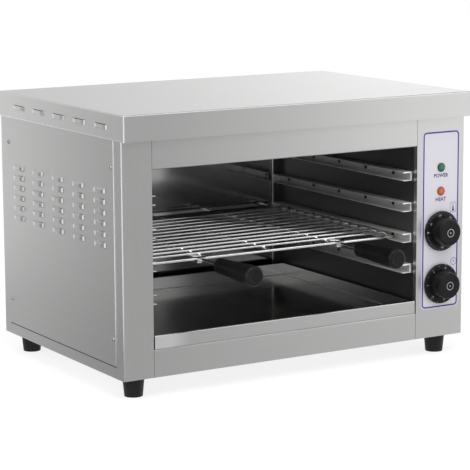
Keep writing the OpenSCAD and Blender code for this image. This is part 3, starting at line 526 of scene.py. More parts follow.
@dataclass(frozen=True)
class PolishedMetal(Finish):
    """Plated or polished metal with faint draw lines and a few dull spots."""

    colour: Colour
    roughness: float = 0.12
    dull: float = 0.08
    metallic: float = 1.0

    def sockets(self, graph: Graph) -> Sockets:
        """What the shader is fed.

        Args:
            graph: The material's graph.

        Returns:
            Values and signals by socket name.
        """
        spots = graph.grain(90.0, 3.0, 0.6)
        fine = graph.grain(1400.0, 1.0, 0.5)
        dark = tuple(0.75 * c for c in self.colour)
        return {
            "Base Color": graph.mix(((spots - 0.5) * 1.6).clamped(), self.colour, dark),
            "Metallic": self.metallic,
            "Roughness": (spots - 0.5) * self.dull + self.roughness,
            "Normal": graph.bump(fine, 0.10, 0.00001),
        }


@dataclass(frozen=True)
class Moulding(Finish):
    """Moulded plastic or rubber with a fine texture and a slight sheen."""

    colour: Colour
    roughness: float = 0.42
    pebble: float = 1500.0
    pebble_height: float = 0.00004
    dust: float = 0.004
    sheen: float = 0.22

    def sockets(self, graph: Graph) -> Sockets:
        """What the shader is fed.

        Args:
            graph: The material's graph.

        Returns:
            Values and signals by socket name.
        """
        texture = graph.grain(self.pebble, 2.0, 0.5)
        flow = graph.grain(35.0, 3.0, 0.6)
        worn = tuple(min(1.0, c + self.dust) for c in self.colour)
        return {
            "Base Color": graph.mix(((flow - 0.4) * 2.0).clamped(), self.colour, worn),
            "Roughness": (flow - 0.5) * 0.14 + self.roughness,
            "Specular IOR Level": self.sheen,
            "Normal": graph.bump(texture, 0.30, self.pebble_height),
        }


@dataclass(frozen=True)
class PrintedFilm(Finish):
    """The control label: a pale film whose middle is a shade greyer than its rim."""

    rim: Colour
    middle: Colour
    centre: Point2
    half: Point2

    def sockets(self, graph: Graph) -> Sockets:
        """What the shader is fed.

        Args:
            graph: The material's graph.

        Returns:
            Values and signals by socket name.
        """
        x, _, z = graph.axes(graph.place())
        beyond_x = abs(x - self.centre[0]) - self.half[0]
        beyond_z = abs(z - self.centre[1]) - self.half[1]
        inside = 1.0 - beyond_x.greatest(beyond_z).above(0.0)
        grain = graph.grain(1200.0, 1.0, 0.5)
        mottle = graph.grain(30.0, 2.0, 0.5)
        base = graph.mix(inside, self.rim, self.middle)
        shade = graph.mix((mottle - 0.5).clamped() * 0.3, base, (0.60, 0.60, 0.63))
        return {
            "Base Color": shade,
            "Roughness": (mottle - 0.5) * 0.1 + 0.38,
            "Normal": graph.bump(grain, 0.15, 0.00002),
        }


@dataclass(frozen=True)
class Ink(Finish):
    """Flat printing ink, very slightly uneven."""

    colour: Colour
    roughness: float = 0.5

    def sockets(self, graph: Graph) -> Sockets:
        """What the shader is fed.

        Args:
            graph: The material's graph.

        Returns:
            Values and signals by socket name.
        """
        uneven = graph.grain(700.0, 2.0, 0.6)
        light = tuple(min(1.0, c * 1.25 + 0.01) for c in self.colour)
        return {
            "Base Color": graph.mix(((uneven - 0.5) * 1.5).clamped(), self.colour, light),
            "Roughness": (uneven - 0.5) * 0.1 + self.roughness,
        }


@dataclass(frozen=True)
class LampLens(Finish):
    """A tinted lens, darker towards its rim and moulded with fine rings."""

    core: Colour
    rim: Colour
    centre: Point2
    radius: float

    def sockets(self, graph: Graph) -> Sockets:
        """What the shader is fed.

        Args:
            graph: The material's graph.

        Returns:
            Values and signals by socket name.
        """
        x, _, z = graph.axes(graph.place())
        flat = graph.node(
            "ShaderNodeCombineXYZ",
            inputs={0: x - self.centre[0], 1: 0.0, 2: z - self.centre[1]},
        )
        reach = graph.node(
            "ShaderNodeVectorMath", {"operation": "LENGTH"}, {0: flat}, output="Value"
        )
        share = reach / self.radius
        rings = graph.node(
            "ShaderNodeMath", {"operation": "SINE"}, {0: share * 38.0}
        )
        cells = graph.node(
            "ShaderNodeTexVoronoi",
            {"feature": "F1"},
            {"Vector": graph.scaled(graph.place(), (520.0,) * 3), "Scale": 1.0},
            output="Distance",
        )
        return {
            "Base Color": graph.mix((share * 1.1 - 0.25).clamped(), self.core, self.rim),
            "Roughness": (cells - 0.5) * 0.06 + 0.16,
            "Coat Weight": 0.3,
            "Normal": graph.bump(rings * 0.3 + cells, 0.25, 0.0002),
        }


@dataclass(frozen=True)
class Fibre(Finish):
    """Mineral wool with tangled strands and clumps."""

    colour: Colour

    def sockets(self, graph: Graph) -> Sockets:
        """What the shader is fed.

        Args:
            graph: The material's graph.

        Returns:
            Values and signals by socket name.
        """
        strands = graph.grain((500.0, 90.0, 400.0), 4.0, 0.7)
        clumps = graph.grain(40.0, 3.0, 0.6)
        dark = tuple(0.72 * c for c in self.colour)
        return {
            "Base Color": graph.mix(strands * 0.5 + clumps * 0.5, dark, self.colour),
            "Roughness": (clumps - 0.5) * 0.1 + 0.92,
            "Normal": graph.bump(strands * 0.6 + clumps, 0.8, 0.003),
        }


@dataclass(frozen=True)
class ScaledMetal(Finish):
    """A heating element's sheath: dark oxide with straw and blue tints where it ran hot."""

    def sockets(self, graph: Graph) -> Sockets:
        """What the shader is fed.

        Args:
            graph: The material's graph.

        Returns:
            Values and signals by socket name.
        """
        tint = graph.grain((14.0, 30.0, 30.0), 3.0, 0.6)
        scale = graph.grain(600.0, 3.0, 0.6)
        warm = graph.mix(((tint - 0.45) * 3.0).clamped(), (0.13, 0.12, 0.12), (0.24, 0.19, 0.15))
        return {
            "Base Color": graph.mix(((scale - 0.5) * 1.2).clamped(), warm, (0.07, 0.07, 0.08)),
            "Metallic": 0.7,
            "Roughness": (scale - 0.5) * 0.2 + 0.48,
            "Normal": graph.bump(scale, 0.4, 0.0001),
        }


@dataclass(frozen=True)
class Ceramic(Finish):
    """Cast ceramic or cream moulding compound with pores."""

    colour: Colour

    def sockets(self, graph: Graph) -> Sockets:
        """What the shader is fed.

        Args:
            graph: The material's graph.

        Returns:
            Values and signals by socket name.
        """
        pores = graph.grain(900.0, 3.0, 0.6)
        cloud = graph.grain(50.0, 2.0, 0.5)
        dark = tuple(0.85 * c for c in self.colour)
        return {
            "Base Color": graph.mix(cloud, dark, self.colour),
            "Roughness": (pores - 0.5) * 0.15 + 0.6,
            "Normal": graph.bump(pores, 0.3, 0.00008),
        }


# ---- Mesh building ----


shift = Matrix.Translation


def spun(degrees: float, axis: str) -> Matrix:
    """The matrix that turns a mesh about an axis through the origin."""
    return Matrix.Rotation(math.radians(degrees), 4, axis)


def linked(name: str, data: Any) -> bpy.types.Object:
    """A new object that is linked to the scene.

    Args:
        name: Its name.
        data: Its mesh, curve, lamp or camera.

    Returns:
        The object.
    """
    made = bpy.data.objects.new(name, data)
    bpy.context.scene.collection.objects.link(made)
    return made


def evaluated(holder: bpy.types.Object) -> Mesh:
    """The mesh that an object's curve or modifiers give, without materials.

    Args:
        holder: The object.

    Returns:
        A new mesh.
    """
    graph = bpy.context.evaluated_depsgraph_get()
    mesh = bpy.data.meshes.new_from_object(holder.evaluated_get(graph))
    mesh.materials.clear()
    return mesh


def new_piece(name: str, mesh: Mesh, smooth: bool = False) -> bpy.types.Object:
    """Links an object for a mesh that is already in place.

    Args:
        name: The piece's name.
        mesh: Its mesh.
        smooth: Whether its faces are shaded smooth, with sharp edges kept by angle.

    Returns:
        The new object.
    """
    piece = linked(name, mesh)
    if smooth:
        mesh.shade_smooth()
        mesh.set_sharp_from_angle(angle=math.radians(35))
    return piece


def from_bmesh(name: str, shape: bmesh.types.BMesh) -> Mesh:
    """A mesh with outward faces from a bmesh, which is freed.

    Args:
        name: The mesh's name.
        shape: The bmesh.

    Returns:
        The mesh.
    """
    bmesh.ops.recalc_face_normals(shape, faces=shape.faces)
    mesh = bpy.data.meshes.new(name)
    shape.to_mesh(mesh)
    shape.free()
    return mesh


def joined(name: str, parts: Iterable[Part]) -> Mesh:
    """One mesh from several that are each moved first.

    Args:
        name: The new mesh's name.
        parts: Pairs of a mesh and the matrix that moves it.

    Returns:
        The joined mesh.
    """
    shape = bmesh.new()
    for part, matrix in parts:
        before = len(shape.verts)
        shape.from_mesh(part)
        shape.verts.ensure_lookup_table()
        bmesh.ops.transform(shape, matrix=matrix, verts=shape.verts[before:])
    return from_bmesh(name, shape)


def prism(name: str, first: Sequence[Point3], last: Sequence[Point3]) -> Mesh:
    """A closed solid between two end faces with as many corners each.

    Args:
        name: The mesh's name.
        first: The corners of one end, in order.
        last: The corners of the other end, in the same order.

    Returns:
        The solid.
    """
    shape = bmesh.new()
    start, end = ([shape.verts.new(corner) for corner in row] for row in (first, last))
    shape.faces.new(start)
    shape.faces.new(end)
    for i, corner in enumerate(start):
        after = (i + 1) % len(start)
        shape.faces.new((corner, start[after], end[after], end[i]))
    return from_bmesh(name, shape)


def slab(name: str, outline: Sequence[Point2], thickness: float) -> Mesh:
    """A flat plate with an outline in X and Z, from y = 0 forward to y = -thickness.

    Args:
        name: The mesh's name.
        outline: Its corners in order.
        thickness: How thick it is.

    Returns:
        The plate.
    """
    back = [(x, 0.0, z) for x, z in outline]
    return prism(name, back, [(x, -thickness, z) for x, z in outline])


def band(
    name: str, outer: Sequence[Point2], inner: Sequence[Point2], thickness: float
) -> Mesh:
    """A flat closed band between two outlines with as many corners each.

    Args:
        name: The mesh's name.
        outer: The outer corners in order, in X and Z.
        inner: The inner corners in the same order.
        thickness: How thick the band is, forward from y = 0.

    Returns:
        The band.
    """
    shape = bmesh.new()
    rows = [
        [shape.verts.new((x, y, z)) for x, z in line]
        for line, y in ((outer, 0.0), (outer, -thickness), (inner, -thickness), (inner, 0.0))
    ]
    count = len(outer)
    for i in range(count):
        after = (i + 1) % count
        for row, following in zip(rows, rows[1:] + rows[:1]):
            shape.faces.new((row[i], row[after], following[after], following[i]))
    return from_bmesh(name, shape)


def rounded_box(half_w: float, half_h: float, radius: float, steps: int = 8) -> list[Point2]:
    """The outline of a rectangle with round corners.

    Args:
        half_w: Half its width.
        half_h: Half its height.
        radius: The corner radius.
        steps: Segments in each corner.

    Returns:
        Its corners, anticlockwise.
    """
    outline = []
    for quarter, (sx, sz) in enumerate(((1, 1), (-1, 1), (-1, -1), (1, -1))):
        for i in range(steps + 1):
            angle = math.radians(90 * (quarter + i / steps))
            outline.append(
                (
                    sx * (half_w - radius) + radius * math.cos(angle),
                    sz * (half_h - radius) + radius * math.sin(angle),
                )
            )
    return outline


def circle(radius: float, steps: int = 48) -> list[Point2]:
    """The outline of a circle.

    Args:
        radius: Its radius.
        steps: Its number of corners.

    Returns:
        Its corners, anticlockwise.
    """
    angles = (2 * math.pi * i / steps for i in range(steps))
    return [(radius * math.cos(a), radius * math.sin(a)) for a in angles]


class Axis(Enum):
    """The axis along which a rod runs."""

    Y = 1
    Z = 2


def swept(name: str, outline: Sequence[Point2], length: float) -> Mesh:
    """A bar with an outline in X and Z that runs from y = 0 back to y = length.

    Args:
        name: The mesh's name.
        outline: Its section's corners in order.
        length: How long it is.

    Returns:
        The bar.
    """
    mesh = slab(name, outline, length)
    mesh.transform(shift((0.0, length, 0.0)))
    return mesh


def rod(name: str, axis: Axis, length: float, radius: float) -> Mesh:
    """A round bar that starts at the origin and runs along an axis.

    Args:
        name: The mesh's name.
        axis: The axis along which it runs.
        length: How long it is.
        radius: Its radius.

    Returns:
        The bar.
    """
    mesh = swept(name, circle(radius, 16), length)
    if axis is Axis.Z:
        mesh.transform(spun(90, "X"))
    return mesh


def pebble(name: str, half: Point3, rings: int = 6) -> Mesh:
    """A smooth flattened bead round the origin.

    Args:
        name: The mesh's name.
        half: Its half sizes along X, Y and Z.
        rings: How many rings of faces it has from pole to pole.

    Returns:
        The bead.
    """
    angles = [math.pi * i / rings for i in range(rings + 1)]
    mesh = turned(name, [(math.sin(a), -math.cos(a)) for a in angles], 12)
    mesh.transform(spun(90, "X"))
    mesh.transform(Matrix.Diagonal((*half, 1.0)))
    return mesh


def turned(name: str, profile: Sequence[Point2], steps: int = 48) -> Mesh:
    """A solid turned about the Y axis.

    Args:
        name: The mesh's name.
        profile: (radius, y) pairs from one end of the axis to the other.
        steps: Its number of sides.

    Returns:
        The turned mesh.
    """
    shape = bmesh.new()
    rings = []
    for radius, y in profile:
        if radius < 1e-7:
            rings.append([shape.verts.new((0.0, y, 0.0))])
        else:
            rings.append([shape.verts.new((x, y, z)) for x, z in circle(radius, steps)])
    for ring, following in zip(rings, rings[1:]):
        for i in range(steps):
            after = (i + 1) % steps
            corners = [
                ring[i % len(ring)], ring[after % len(ring)],
                following[after % len(following)], following[i % len(following)],
            ]
            unique = list(dict.fromkeys(corners))
            if len(unique) > 2:
                shape.faces.new(unique)
    return from_bmesh(name, shape)


CAPITAL_SHARE = 0.69  # a capital's height as a share of the letters' size


def lettering(name: str, words: str, height: float, thickness: float, bold: float) -> Mesh:
    """Words as a thin solid that faces -Y, with their middle at the origin.

    Args:
        name: The mesh's name.
        words: What they say.
        height: The height of a capital.
        thickness: How far the letters stand out.
        bold: How far each stroke is widened.

    Returns:
        The letters.
    """
    curve = bpy.data.curves.new(name, "FONT")
    curve.body = words
    curve.size = height / CAPITAL_SHARE
    curve.offset = bold
    curve.extrude = thickness / 2
    curve.resolution_u = 3
    curve.align_x = "CENTER"
    holder = linked(name, curve)
    mesh = evaluated(holder)
    bpy.data.objects.remove(holder)
    bpy.data.curves.remove(curve)
    mesh.transform(spun(90, "X") @ shift((0.0, -height / 2, 0.0)))
    return mesh


def widened(mesh: Mesh, width: float) -> Mesh:
    """The mesh stretched along X to a width.

    Args:
        mesh: The mesh, with its middle at the origin.
        width: Its new width.

    Returns:
        The same mesh.
    """
    reach = [v.co.x for v in mesh.vertices]
    mesh.transform(Matrix.Scale(width / (max(reach) - min(reach)), 4, (1.0, 0.0, 0.0)))
    return mesh


# ---- The object ----


@dataclass
class Assembly:
    """What every sub-assembly needs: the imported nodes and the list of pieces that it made."""

    nodes: dict[str, bpy.types.Object]
    made: list[str] = field(default_factory=list, init=False)

    def dress(
        self, names: Iterable[str], material: Material, rounding: float = 0.0
    ) -> None:
        """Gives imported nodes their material, and rounds their edges by a little.

        Args:
            names: The nodes.
            material: Their material.
            rounding: The width of the rounding, in metres, or 0 for none.
        """
        for name in names:
            node = self.nodes[name]
            node.data.materials.clear()
            node.data.materials.append(material)
            if rounding:
                self._round_edges(node, rounding)
            self.made.append(name)

    @staticmethod
    def _round_edges(node: bpy.types.Object, width: float) -> None:
        """Adds a small rounding to a node's sharp edges.

        Args:
            node: The node.
            width: The width of the rounding, in metres.
        """
        bevel = node.modifiers.new("edge_rounding", "BEVEL")
        bevel.width = width
        bevel.segments = 2
        bevel.limit_method = "ANGLE"
        bevel.angle_limit = math.radians(50)
        bevel.use_clamp_overlap = True

    def add(
        self,
        name: str,
        mesh: Mesh,
        material: Material,
        body: str,
        slot: str,
        smooth: bool = False,
    ) -> bpy.types.Object:
        """Adds a piece that rides on a body.

        Args:
            name: The piece's name.
            mesh: Its mesh, already in place.
            material: Its material.
            body: The body that it moves with.
            slot: Not used.
            smooth: Whether it is shaded smooth.

        Returns:
            The piece.
        """
        piece = new_piece(name, mesh, smooth)
        piece.data.materials.append(material)
        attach(piece, body)
        self.made.append(name)
        return piece


@dataclass
class Casing(Assembly):
    """The folded outer sheets with their hems, and a dark strip under each cover that is painted
    shade.
    """

    edge: float = 0.00035
    hem_radius: float = 0.0011
    hem_out: float = 0.0006
    shade_strip_height: float = 0.0016
    shade_strip_out: float = 0.0007
    shade_strip_radius: float = 0.0003
    sheet: float = 0.0010
    cover_hem_share: float = 0.8
    cover_hem_out: float = 0.0004
    lid_hem_gap: float = 0.0020

    def build(self) -> None:
        """Dresses the outer sheets, each with the grain that its folds give it."""
        across = BrushedSheet("brushed_across", Grain.ACROSS).build()
        upright = BrushedSheet("brushed_upright", Grain.UPRIGHT).build()
        cover = BrushedSheet("brushed_cover", Grain.DEEP).build()
        # The lid's side flanges get a 15% brighter base colour: painted light.
        folded = BrushedSheet("brushed_lid", Grain.FOLDED, roughness=0.33, painted_side_light=1.15).build()
        self.dress(["front_sill", "lintel", "base_pan"], across, self.edge)
        self.dress(
            ["left_front_post", "left_rear_post", "right_rear_post", "control_panel"],
            upright, self.edge,
        )
        self.dress(["left_side_cover", "right_side_cover"], cover, self.edge)
        self.dress(["lid"], folded, self.edge)
        self._hems()
        self._shade_strips()

    def _hems(self) -> None:
        """Adds the rolled edges: under the lid's sides and along each cover's front edge."""
        low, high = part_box("lid")
        flank = self.nodes["lid"].data
        under_top = high.z - 4 * self.sheet
        reach = max(v.co.x for v in flank.vertices if v.co.z > under_top)
        rolled = PolishedMetal("rolled_edge", (0.76, 0.76, 0.76), 0.24).build()
        r = self.hem_radius
        x = reach + self.hem_out - r
        along = [
            (rod("lid_hem", Axis.Y, high.y - low.y - 2 * self.lid_hem_gap, r),
             shift((side * x, low.y + self.lid_hem_gap, low.z + r)))
            for side in (-1, 1)
        ]
        self.add("lid_hems", joined("lid_hems", along), rolled, "cabinet", "brushed_casing", True)
        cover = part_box("right_side_cover")[0]
        thin = r * self.cover_hem_share
        x = self._flank() + self.sheet + self.cover_hem_out - thin
        upright = [
            (rod("cover_hem", Axis.Z, low.z - cover.z, thin), shift((side * x, cover.y, cover.z)))
            for side in (-1, 1)
        ]
        mesh = joined("cover_hems", upright)
        self.add("cover_hems", mesh, rolled, "cabinet", "brushed_casing", True)

    @staticmethod
    def _flank() -> float:
        """How far the posts, on which the side covers lie, reach out from the middle."""
        return -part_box("left_front_post")[0].x

    def _shade_strips(self) -> None:
        """Adds a near-black strip under each cover's lower edge: painted shade standing in for the
        shadow line there.
        """
        low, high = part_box("right_side_cover")
        outline = rounded_box(
            self.shade_strip_out / 2, self.shade_strip_height / 2, self.shade_strip_radius, 3
        )
        x = self._flank() + self.shade_strip_radius
        strip = swept("shade_strip", outline, high.y - low.y)
        parts = [
            (strip, shift((side * x, low.y, low.z - self.shade_strip_height / 2)))
            for side in (-1, 1)
        ]
        # Near-black strip: painted shade for the shadow line under each cover.
        dark = Moulding("shade_strip_rubber", (0.010, 0.010, 0.010), 0.6).build()
        self.add("cover_shade_strips", joined("cover_shade_strips", parts), dark, "cabinet", "foot_rubber")


@dataclass
class CookingSpace(Assembly):
    """The inner box, its rails, its elements and what hangs from its ceiling."""

    edge: float = 0.0003
    hem_radius: float = 0.0012
    lip_width: float = 0.0019
    sheet: float = 0.0010
    lip_out: float = 0.0004

    def build(self) -> None:
        """Dresses the inner sheets and fittings."""
        wall = MirrorSheet("inner_sheet", (0.15, 0.15, 0.15), 0.42, haze_share=0.15).build()
        rear = MirrorSheet("rear_sheet", (0.42, 0.42, 0.42), 0.11).build()
        ceiling = MirrorSheet(
            "ceiling_sheet", (0.28, 0.27, 0.26), roughness=0.22, haze_share=0.6
        ).build()
        rail = PolishedMetal("rail_steel", (0.66, 0.66, 0.65), 0.5, 0.2, metallic=0.55).build()
        lip = PolishedMetal("bright_lip", (0.92, 0.92, 0.92), roughness=0.2).build()
        fitting = PolishedMetal("cavity_fittings", (0.45, 0.45, 0.44), roughness=0.3).build()
        self.dress(["cavity_left_wall", "cavity_right_wall", "cavity_floor"], wall)
        self.dress(["rear_panel"], rear)
        self.dress(["cavity_ceiling", "control_heat_shield"], ceiling)
        sides = [f"rail_{side}_{level}" for side in ("left", "right") for level in range(1, 5)]
        self.dress(sides, rail, self.edge)
        # The rivet heads are near-black: painted shade for the dark dots that they show.
        self.dress(["rail_rivets"], PolishedMetal("rivets", (0.10, 0.10, 0.10), 0.35).build())
        self.dress(["element_hangers", "probe_clips"], fitting)
        self.dress(
            ["heating_element_front", "heating_element_middle", "heating_element_rear"],
            ScaledMetal("element_sheath").build(),
        )
        self.dress(
            ["thermostat_probe"], PolishedMetal("probe_metal", (0.50, 0.42, 0.32)).build()
        )
        self.dress(["insulation_blanket"], Fibre("insulation", (0.80, 0.76, 0.64)).build())
        self._hems(lip)
        # A near-white, nearly matt finish: painted highlight on the channels' cut front edges.
        lip_highlight = PolishedMetal("painted_highlight_lip", (0.97, 0.97, 0.97), 0.45, 0.1, metallic=0.15)
        self._rail_lips(lip_highlight.build())

    def _hems(self, steel: Material) -> None:
        """Adds the rolled free edge of the flange that joins each side wall to the back.

        Args:
            steel: The edges' material.
        """
        parts = []
        for name, side in (("cavity_left_wall", 1), ("cavity_right_wall", -1)):
            low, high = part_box(name)
            x = high.x if side > 0 else low.x
            place = shift((x, high.y - self.sheet - self.hem_radius, low.z))
            parts.append((rod("flange_hem", Axis.Z, high.z - low.z, self.hem_radius), place))
        hems = joined("flange_hems", parts)
        self.add("flange_hems", hems, steel, "cabinet", "cavity_sheet", True)

    def _rail_lips(self, steel: Material) -> None:
        """Adds a near-white lip round the front end of each right-hand channel: a painted
        highlight on the cut edge.

        Its lower side is no thicker than the sheet, so that the rack slides over it.

        Args:
            steel: The lips' material.
        """
        parts = []
        t = self.lip_width
        for level in range(1, 5):
            low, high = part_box(f"rail_right_{level}")
            outline = [
                (high.x, low.z), (high.x, high.z), (low.x, high.z), (low.x, high.z - t),
                (high.x - t, high.z - t), (high.x - t, low.z + self.sheet),
                (low.x, low.z + self.sheet), (low.x, low.z),
            ]
            place = shift((0.0, low.y, 0.0))
            parts.append((slab("rail_lip", outline, self.lip_out), place))
        self.add("rail_lips", joined("rail_lips", parts), steel, "cabinet", "rail_steel")


@dataclass
class WireRack(Assembly):
    """The sliding wire rack and its two handles."""

    rod_radius: float = 0.0025
    first_wire: float = 0.021
    last_wire: float = 0.027
    wires: int = 12
    bays: int = 4
    weld: Point3 = (0.0036, 0.0034, 0.0017)
    weld_drop: float = 0.0034

    def build(self) -> None:
        """Dresses the wires, the brackets, the studs and the grips."""
        bright = PolishedMetal("bright_wire", (0.95, 0.95, 0.95), 0.09, dull=0.05).build()
        self.dress(["wire_rack"], bright)
        fitting = PolishedMetal("bright_fittings", (0.70, 0.70, 0.71), 0.10).build()
        grip = Moulding("grip_plastic", (0.0055, 0.0055, 0.0058), roughness=0.38).build()
        for side in ("left", "right"):
            self.dress([f"handle_bracket_{side}", f"handle_stud_{side}"], fitting)
            self.dress([f"handle_grip_{side}"], grip)
        self._welds(bright)

    def _welds(self, bright: Material) -> None:
        """Adds the small weld where each cross wire lies on a rod.

        Args:
            bright: The wires' material.
        """
        low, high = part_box("wire_rack")
        left, right = low.x + self.rod_radius, high.x - self.rod_radius
        front = low.y + self.rod_radius + self.first_wire
        back = high.y - self.rod_radius - self.last_wire
        z = high.z - self.weld_drop
        bead = pebble("weld", self.weld)
        parts = [
            (bead, shift((
                left + (right - left) * column / self.bays,
                front + (back - front) * row / (self.wires - 1),
                z,
            )))
            for column in range(self.bays + 1)
            for row in range(self.wires)
        ]
        self.add("rack_welds", joined("rack_welds", parts), bright, "rack", "bright_wire", True)


@dataclass
class CrumbTray(Assembly):
    """The tray below the rack, with the rounded seams of its folds."""

    edge: float = 0.0003
    rim: float = 0.004
    height: float = 0.020
    sheet: float = 0.001
    seam_radius: float = 0.0009

    def build(self) -> None:
        """Dresses the tray and rounds its inner corners."""
        self.dress(["crumb_tray"], TraySheet("tray_sheet").build(), self.edge)
        low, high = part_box("crumb_tray")
        left = low.x + self.rim + self.sheet
        right = high.x - self.rim - self.sheet
        back = high.y - self.rim - self.sheet
        floor = high.z - self.height + self.sheet
        parts = [
            (rod("seam", Axis.Y, back - low.y - self.sheet, self.seam_radius),
             shift((x, low.y + self.sheet, floor)))
            for x in (left, right)
        ]
        across = rod("seam", Axis.Y, right - left, self.seam_radius)
        turn = spun(-90, "Z")
        parts.append((across, shift((left, back, floor)) @ turn))
        seam = PolishedMetal("tray_seam", (0.80, 0.80, 0.80), 0.3).build()
        self.add("tray_seams", joined("tray_seams", parts), seam, "tray", "tray_sheet", True)


@dataclass
class ControlColumn(Assembly):
    """The printed label, the lamps and what is behind the panel."""

    film: float = 0.00006
    line_half: Point2 = (0.0339, 0.1375)
    line_width: float = 0.0023
    line_radius: float = 0.0066
    label_middle: float = 0.2140
    word_height: float = 0.0056
    stroke: float = 0.00022

    def build(self) -> None:
        """Dresses the label and lamps and prints the words and signs."""
        low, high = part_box("control_label")
        x = (low.x + high.x) / 2
        front = low.y
        inner = (self.line_half[0] - self.line_width, self.line_half[1] - self.line_width)
        film = PrintedFilm(
            "label_film", (0.54, 0.53, 0.70), (0.565, 0.55, 0.595), (x, self.label_middle), inner
        )
        self.dress(["control_label"], film.build())
        self._lamps()
        ink = Ink("indigo_ink", (0.030, 0.020, 0.17)).build()
        at = shift((x, front, self.label_middle))
        line = band(
            "label_line",
            rounded_box(*self.line_half, self.line_radius),
            rounded_box(*inner, self.line_radius - self.line_width),
            self.film,
        )
        self._print("label_line", line, at, ink)
        self._words("word_power", "POWER", 0.0272, (x, front, 0.2835), ink)
        self._words("word_heat", "HEAT", 0.0200, (x, front, 0.2465), ink)
        self._thermometer((x + 0.0240, front, 0.2320), ink)
        self._clock((x + 0.0262, front, 0.1465), ink)
        self._hidden()

    def _lamps(self) -> None:
        """Dresses the two lenses."""
        green = ((0.010, 0.145, 0.080), (0.003, 0.026, 0.018))
        amber = ((0.56, 0.105, 0.028), (0.17, 0.024, 0.008))
        for name, (core, rim) in (("power_lamp_lens", green), ("heat_lamp_lens", amber)):
            low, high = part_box(name)
            middle = (low + high) / 2
            lens = LampLens(name, core, rim, (middle.x, middle.z), (high.x - low.x) / 2)
            self.dress([name], lens.build())

    def _hidden(self) -> None:
        """Dresses what is behind the panel."""
        ceramic = Ceramic("control_ceramic", (0.80, 0.78, 0.70)).build()
        self.dress(["thermostat_body", "timer_body", "terminal_block"], ceramic)
        self.dress(["lamp_housings"], Moulding("housing_plastic", (0.010, 0.010, 0.010)).build())
        self.dress(["wiring"], Moulding("lead_insulation", (0.42, 0.07, 0.05), 0.5).build())

    def _print(
        self, name: str, mesh: Mesh, at: Matrix, ink: Material
    ) -> None:
        """Adds one print at its place on the label."""
        mesh.transform(at)
        self.add(name, mesh, ink, "cabinet", "label_film")

    def _words(
        self, name: str, words: str, width: float, at: Sequence[float], ink: Material
    ) -> None:
        """Prints a word.

        Args:
            name: The piece's name.
            words: The word.
            width: How wide it is.
            at: Its middle on the label.
            ink: Its ink.
        """
        mesh = lettering(name, words, self.word_height, 2 * self.film, self.stroke)
        self._print(name, widened(mesh, width), shift(at), ink)

    def _thermometer(self, at: Sequence[float], ink: Material) -> None:
        """Prints a thermometer in a rounded frame.

        Args:
            at: Its middle on the label.
            ink: Its ink.
        """
        frame = band(
            "sign_frame", rounded_box(0.0060, 0.0080, 0.0030),
            rounded_box(0.0054, 0.0074, 0.0024), self.film,
        )
        stem = band(
            "sign_stem", rounded_box(0.0013, 0.0046, 0.0013),
            rounded_box(0.0008, 0.0041, 0.0008), self.film,
        )
        bulb = slab("sign_bulb", circle(0.0021, 24), self.film)
        fill = slab("sign_fill", rounded_box(0.0006, 0.0028, 0.0005, 3), self.film)
        mesh = joined(
            "sign_heat",
            [
                (frame, Matrix.Identity(4)),
                (stem, shift((0.0, 0.0, 0.0010))),
                (bulb, shift((0.0, -0.00002, -0.0040))),
                (fill, shift((0.0, -0.00001, -0.0012))),
            ],
        )
        self._print("sign_heat", mesh, shift(at), ink)

    def _clock(self, at: Sequence[float], ink: Material) -> None:
        """Prints a clock: a ring, a middle and two hands.

        Args:
            at: Its middle on the label.
            ink: Its ink.
        """
        ring = band("sign_ring", circle(0.0058), circle(0.0051), self.film)
        dot = slab("sign_dot", circle(0.0009, 24), self.film)
        hand = slab("sign_hand", rounded_box(0.0003, 0.0013, 0.0002, 3), self.film)
        up = shift((0.0, 0.0, 0.0012))
        mesh = joined(
            "sign_time",
            [
                (ring, Matrix.Identity(4)), (dot, shift((0.0, -0.00002, 0.0))),
                (hand, up), (hand, spun(90, "Y") @ up),
            ],
        )
        self._print("sign_time", mesh, shift(at), ink)


class Scale(Enum):
    """What a dial's skirt is printed with."""

    DEGREES = "degrees"
    MINUTES = "minutes"


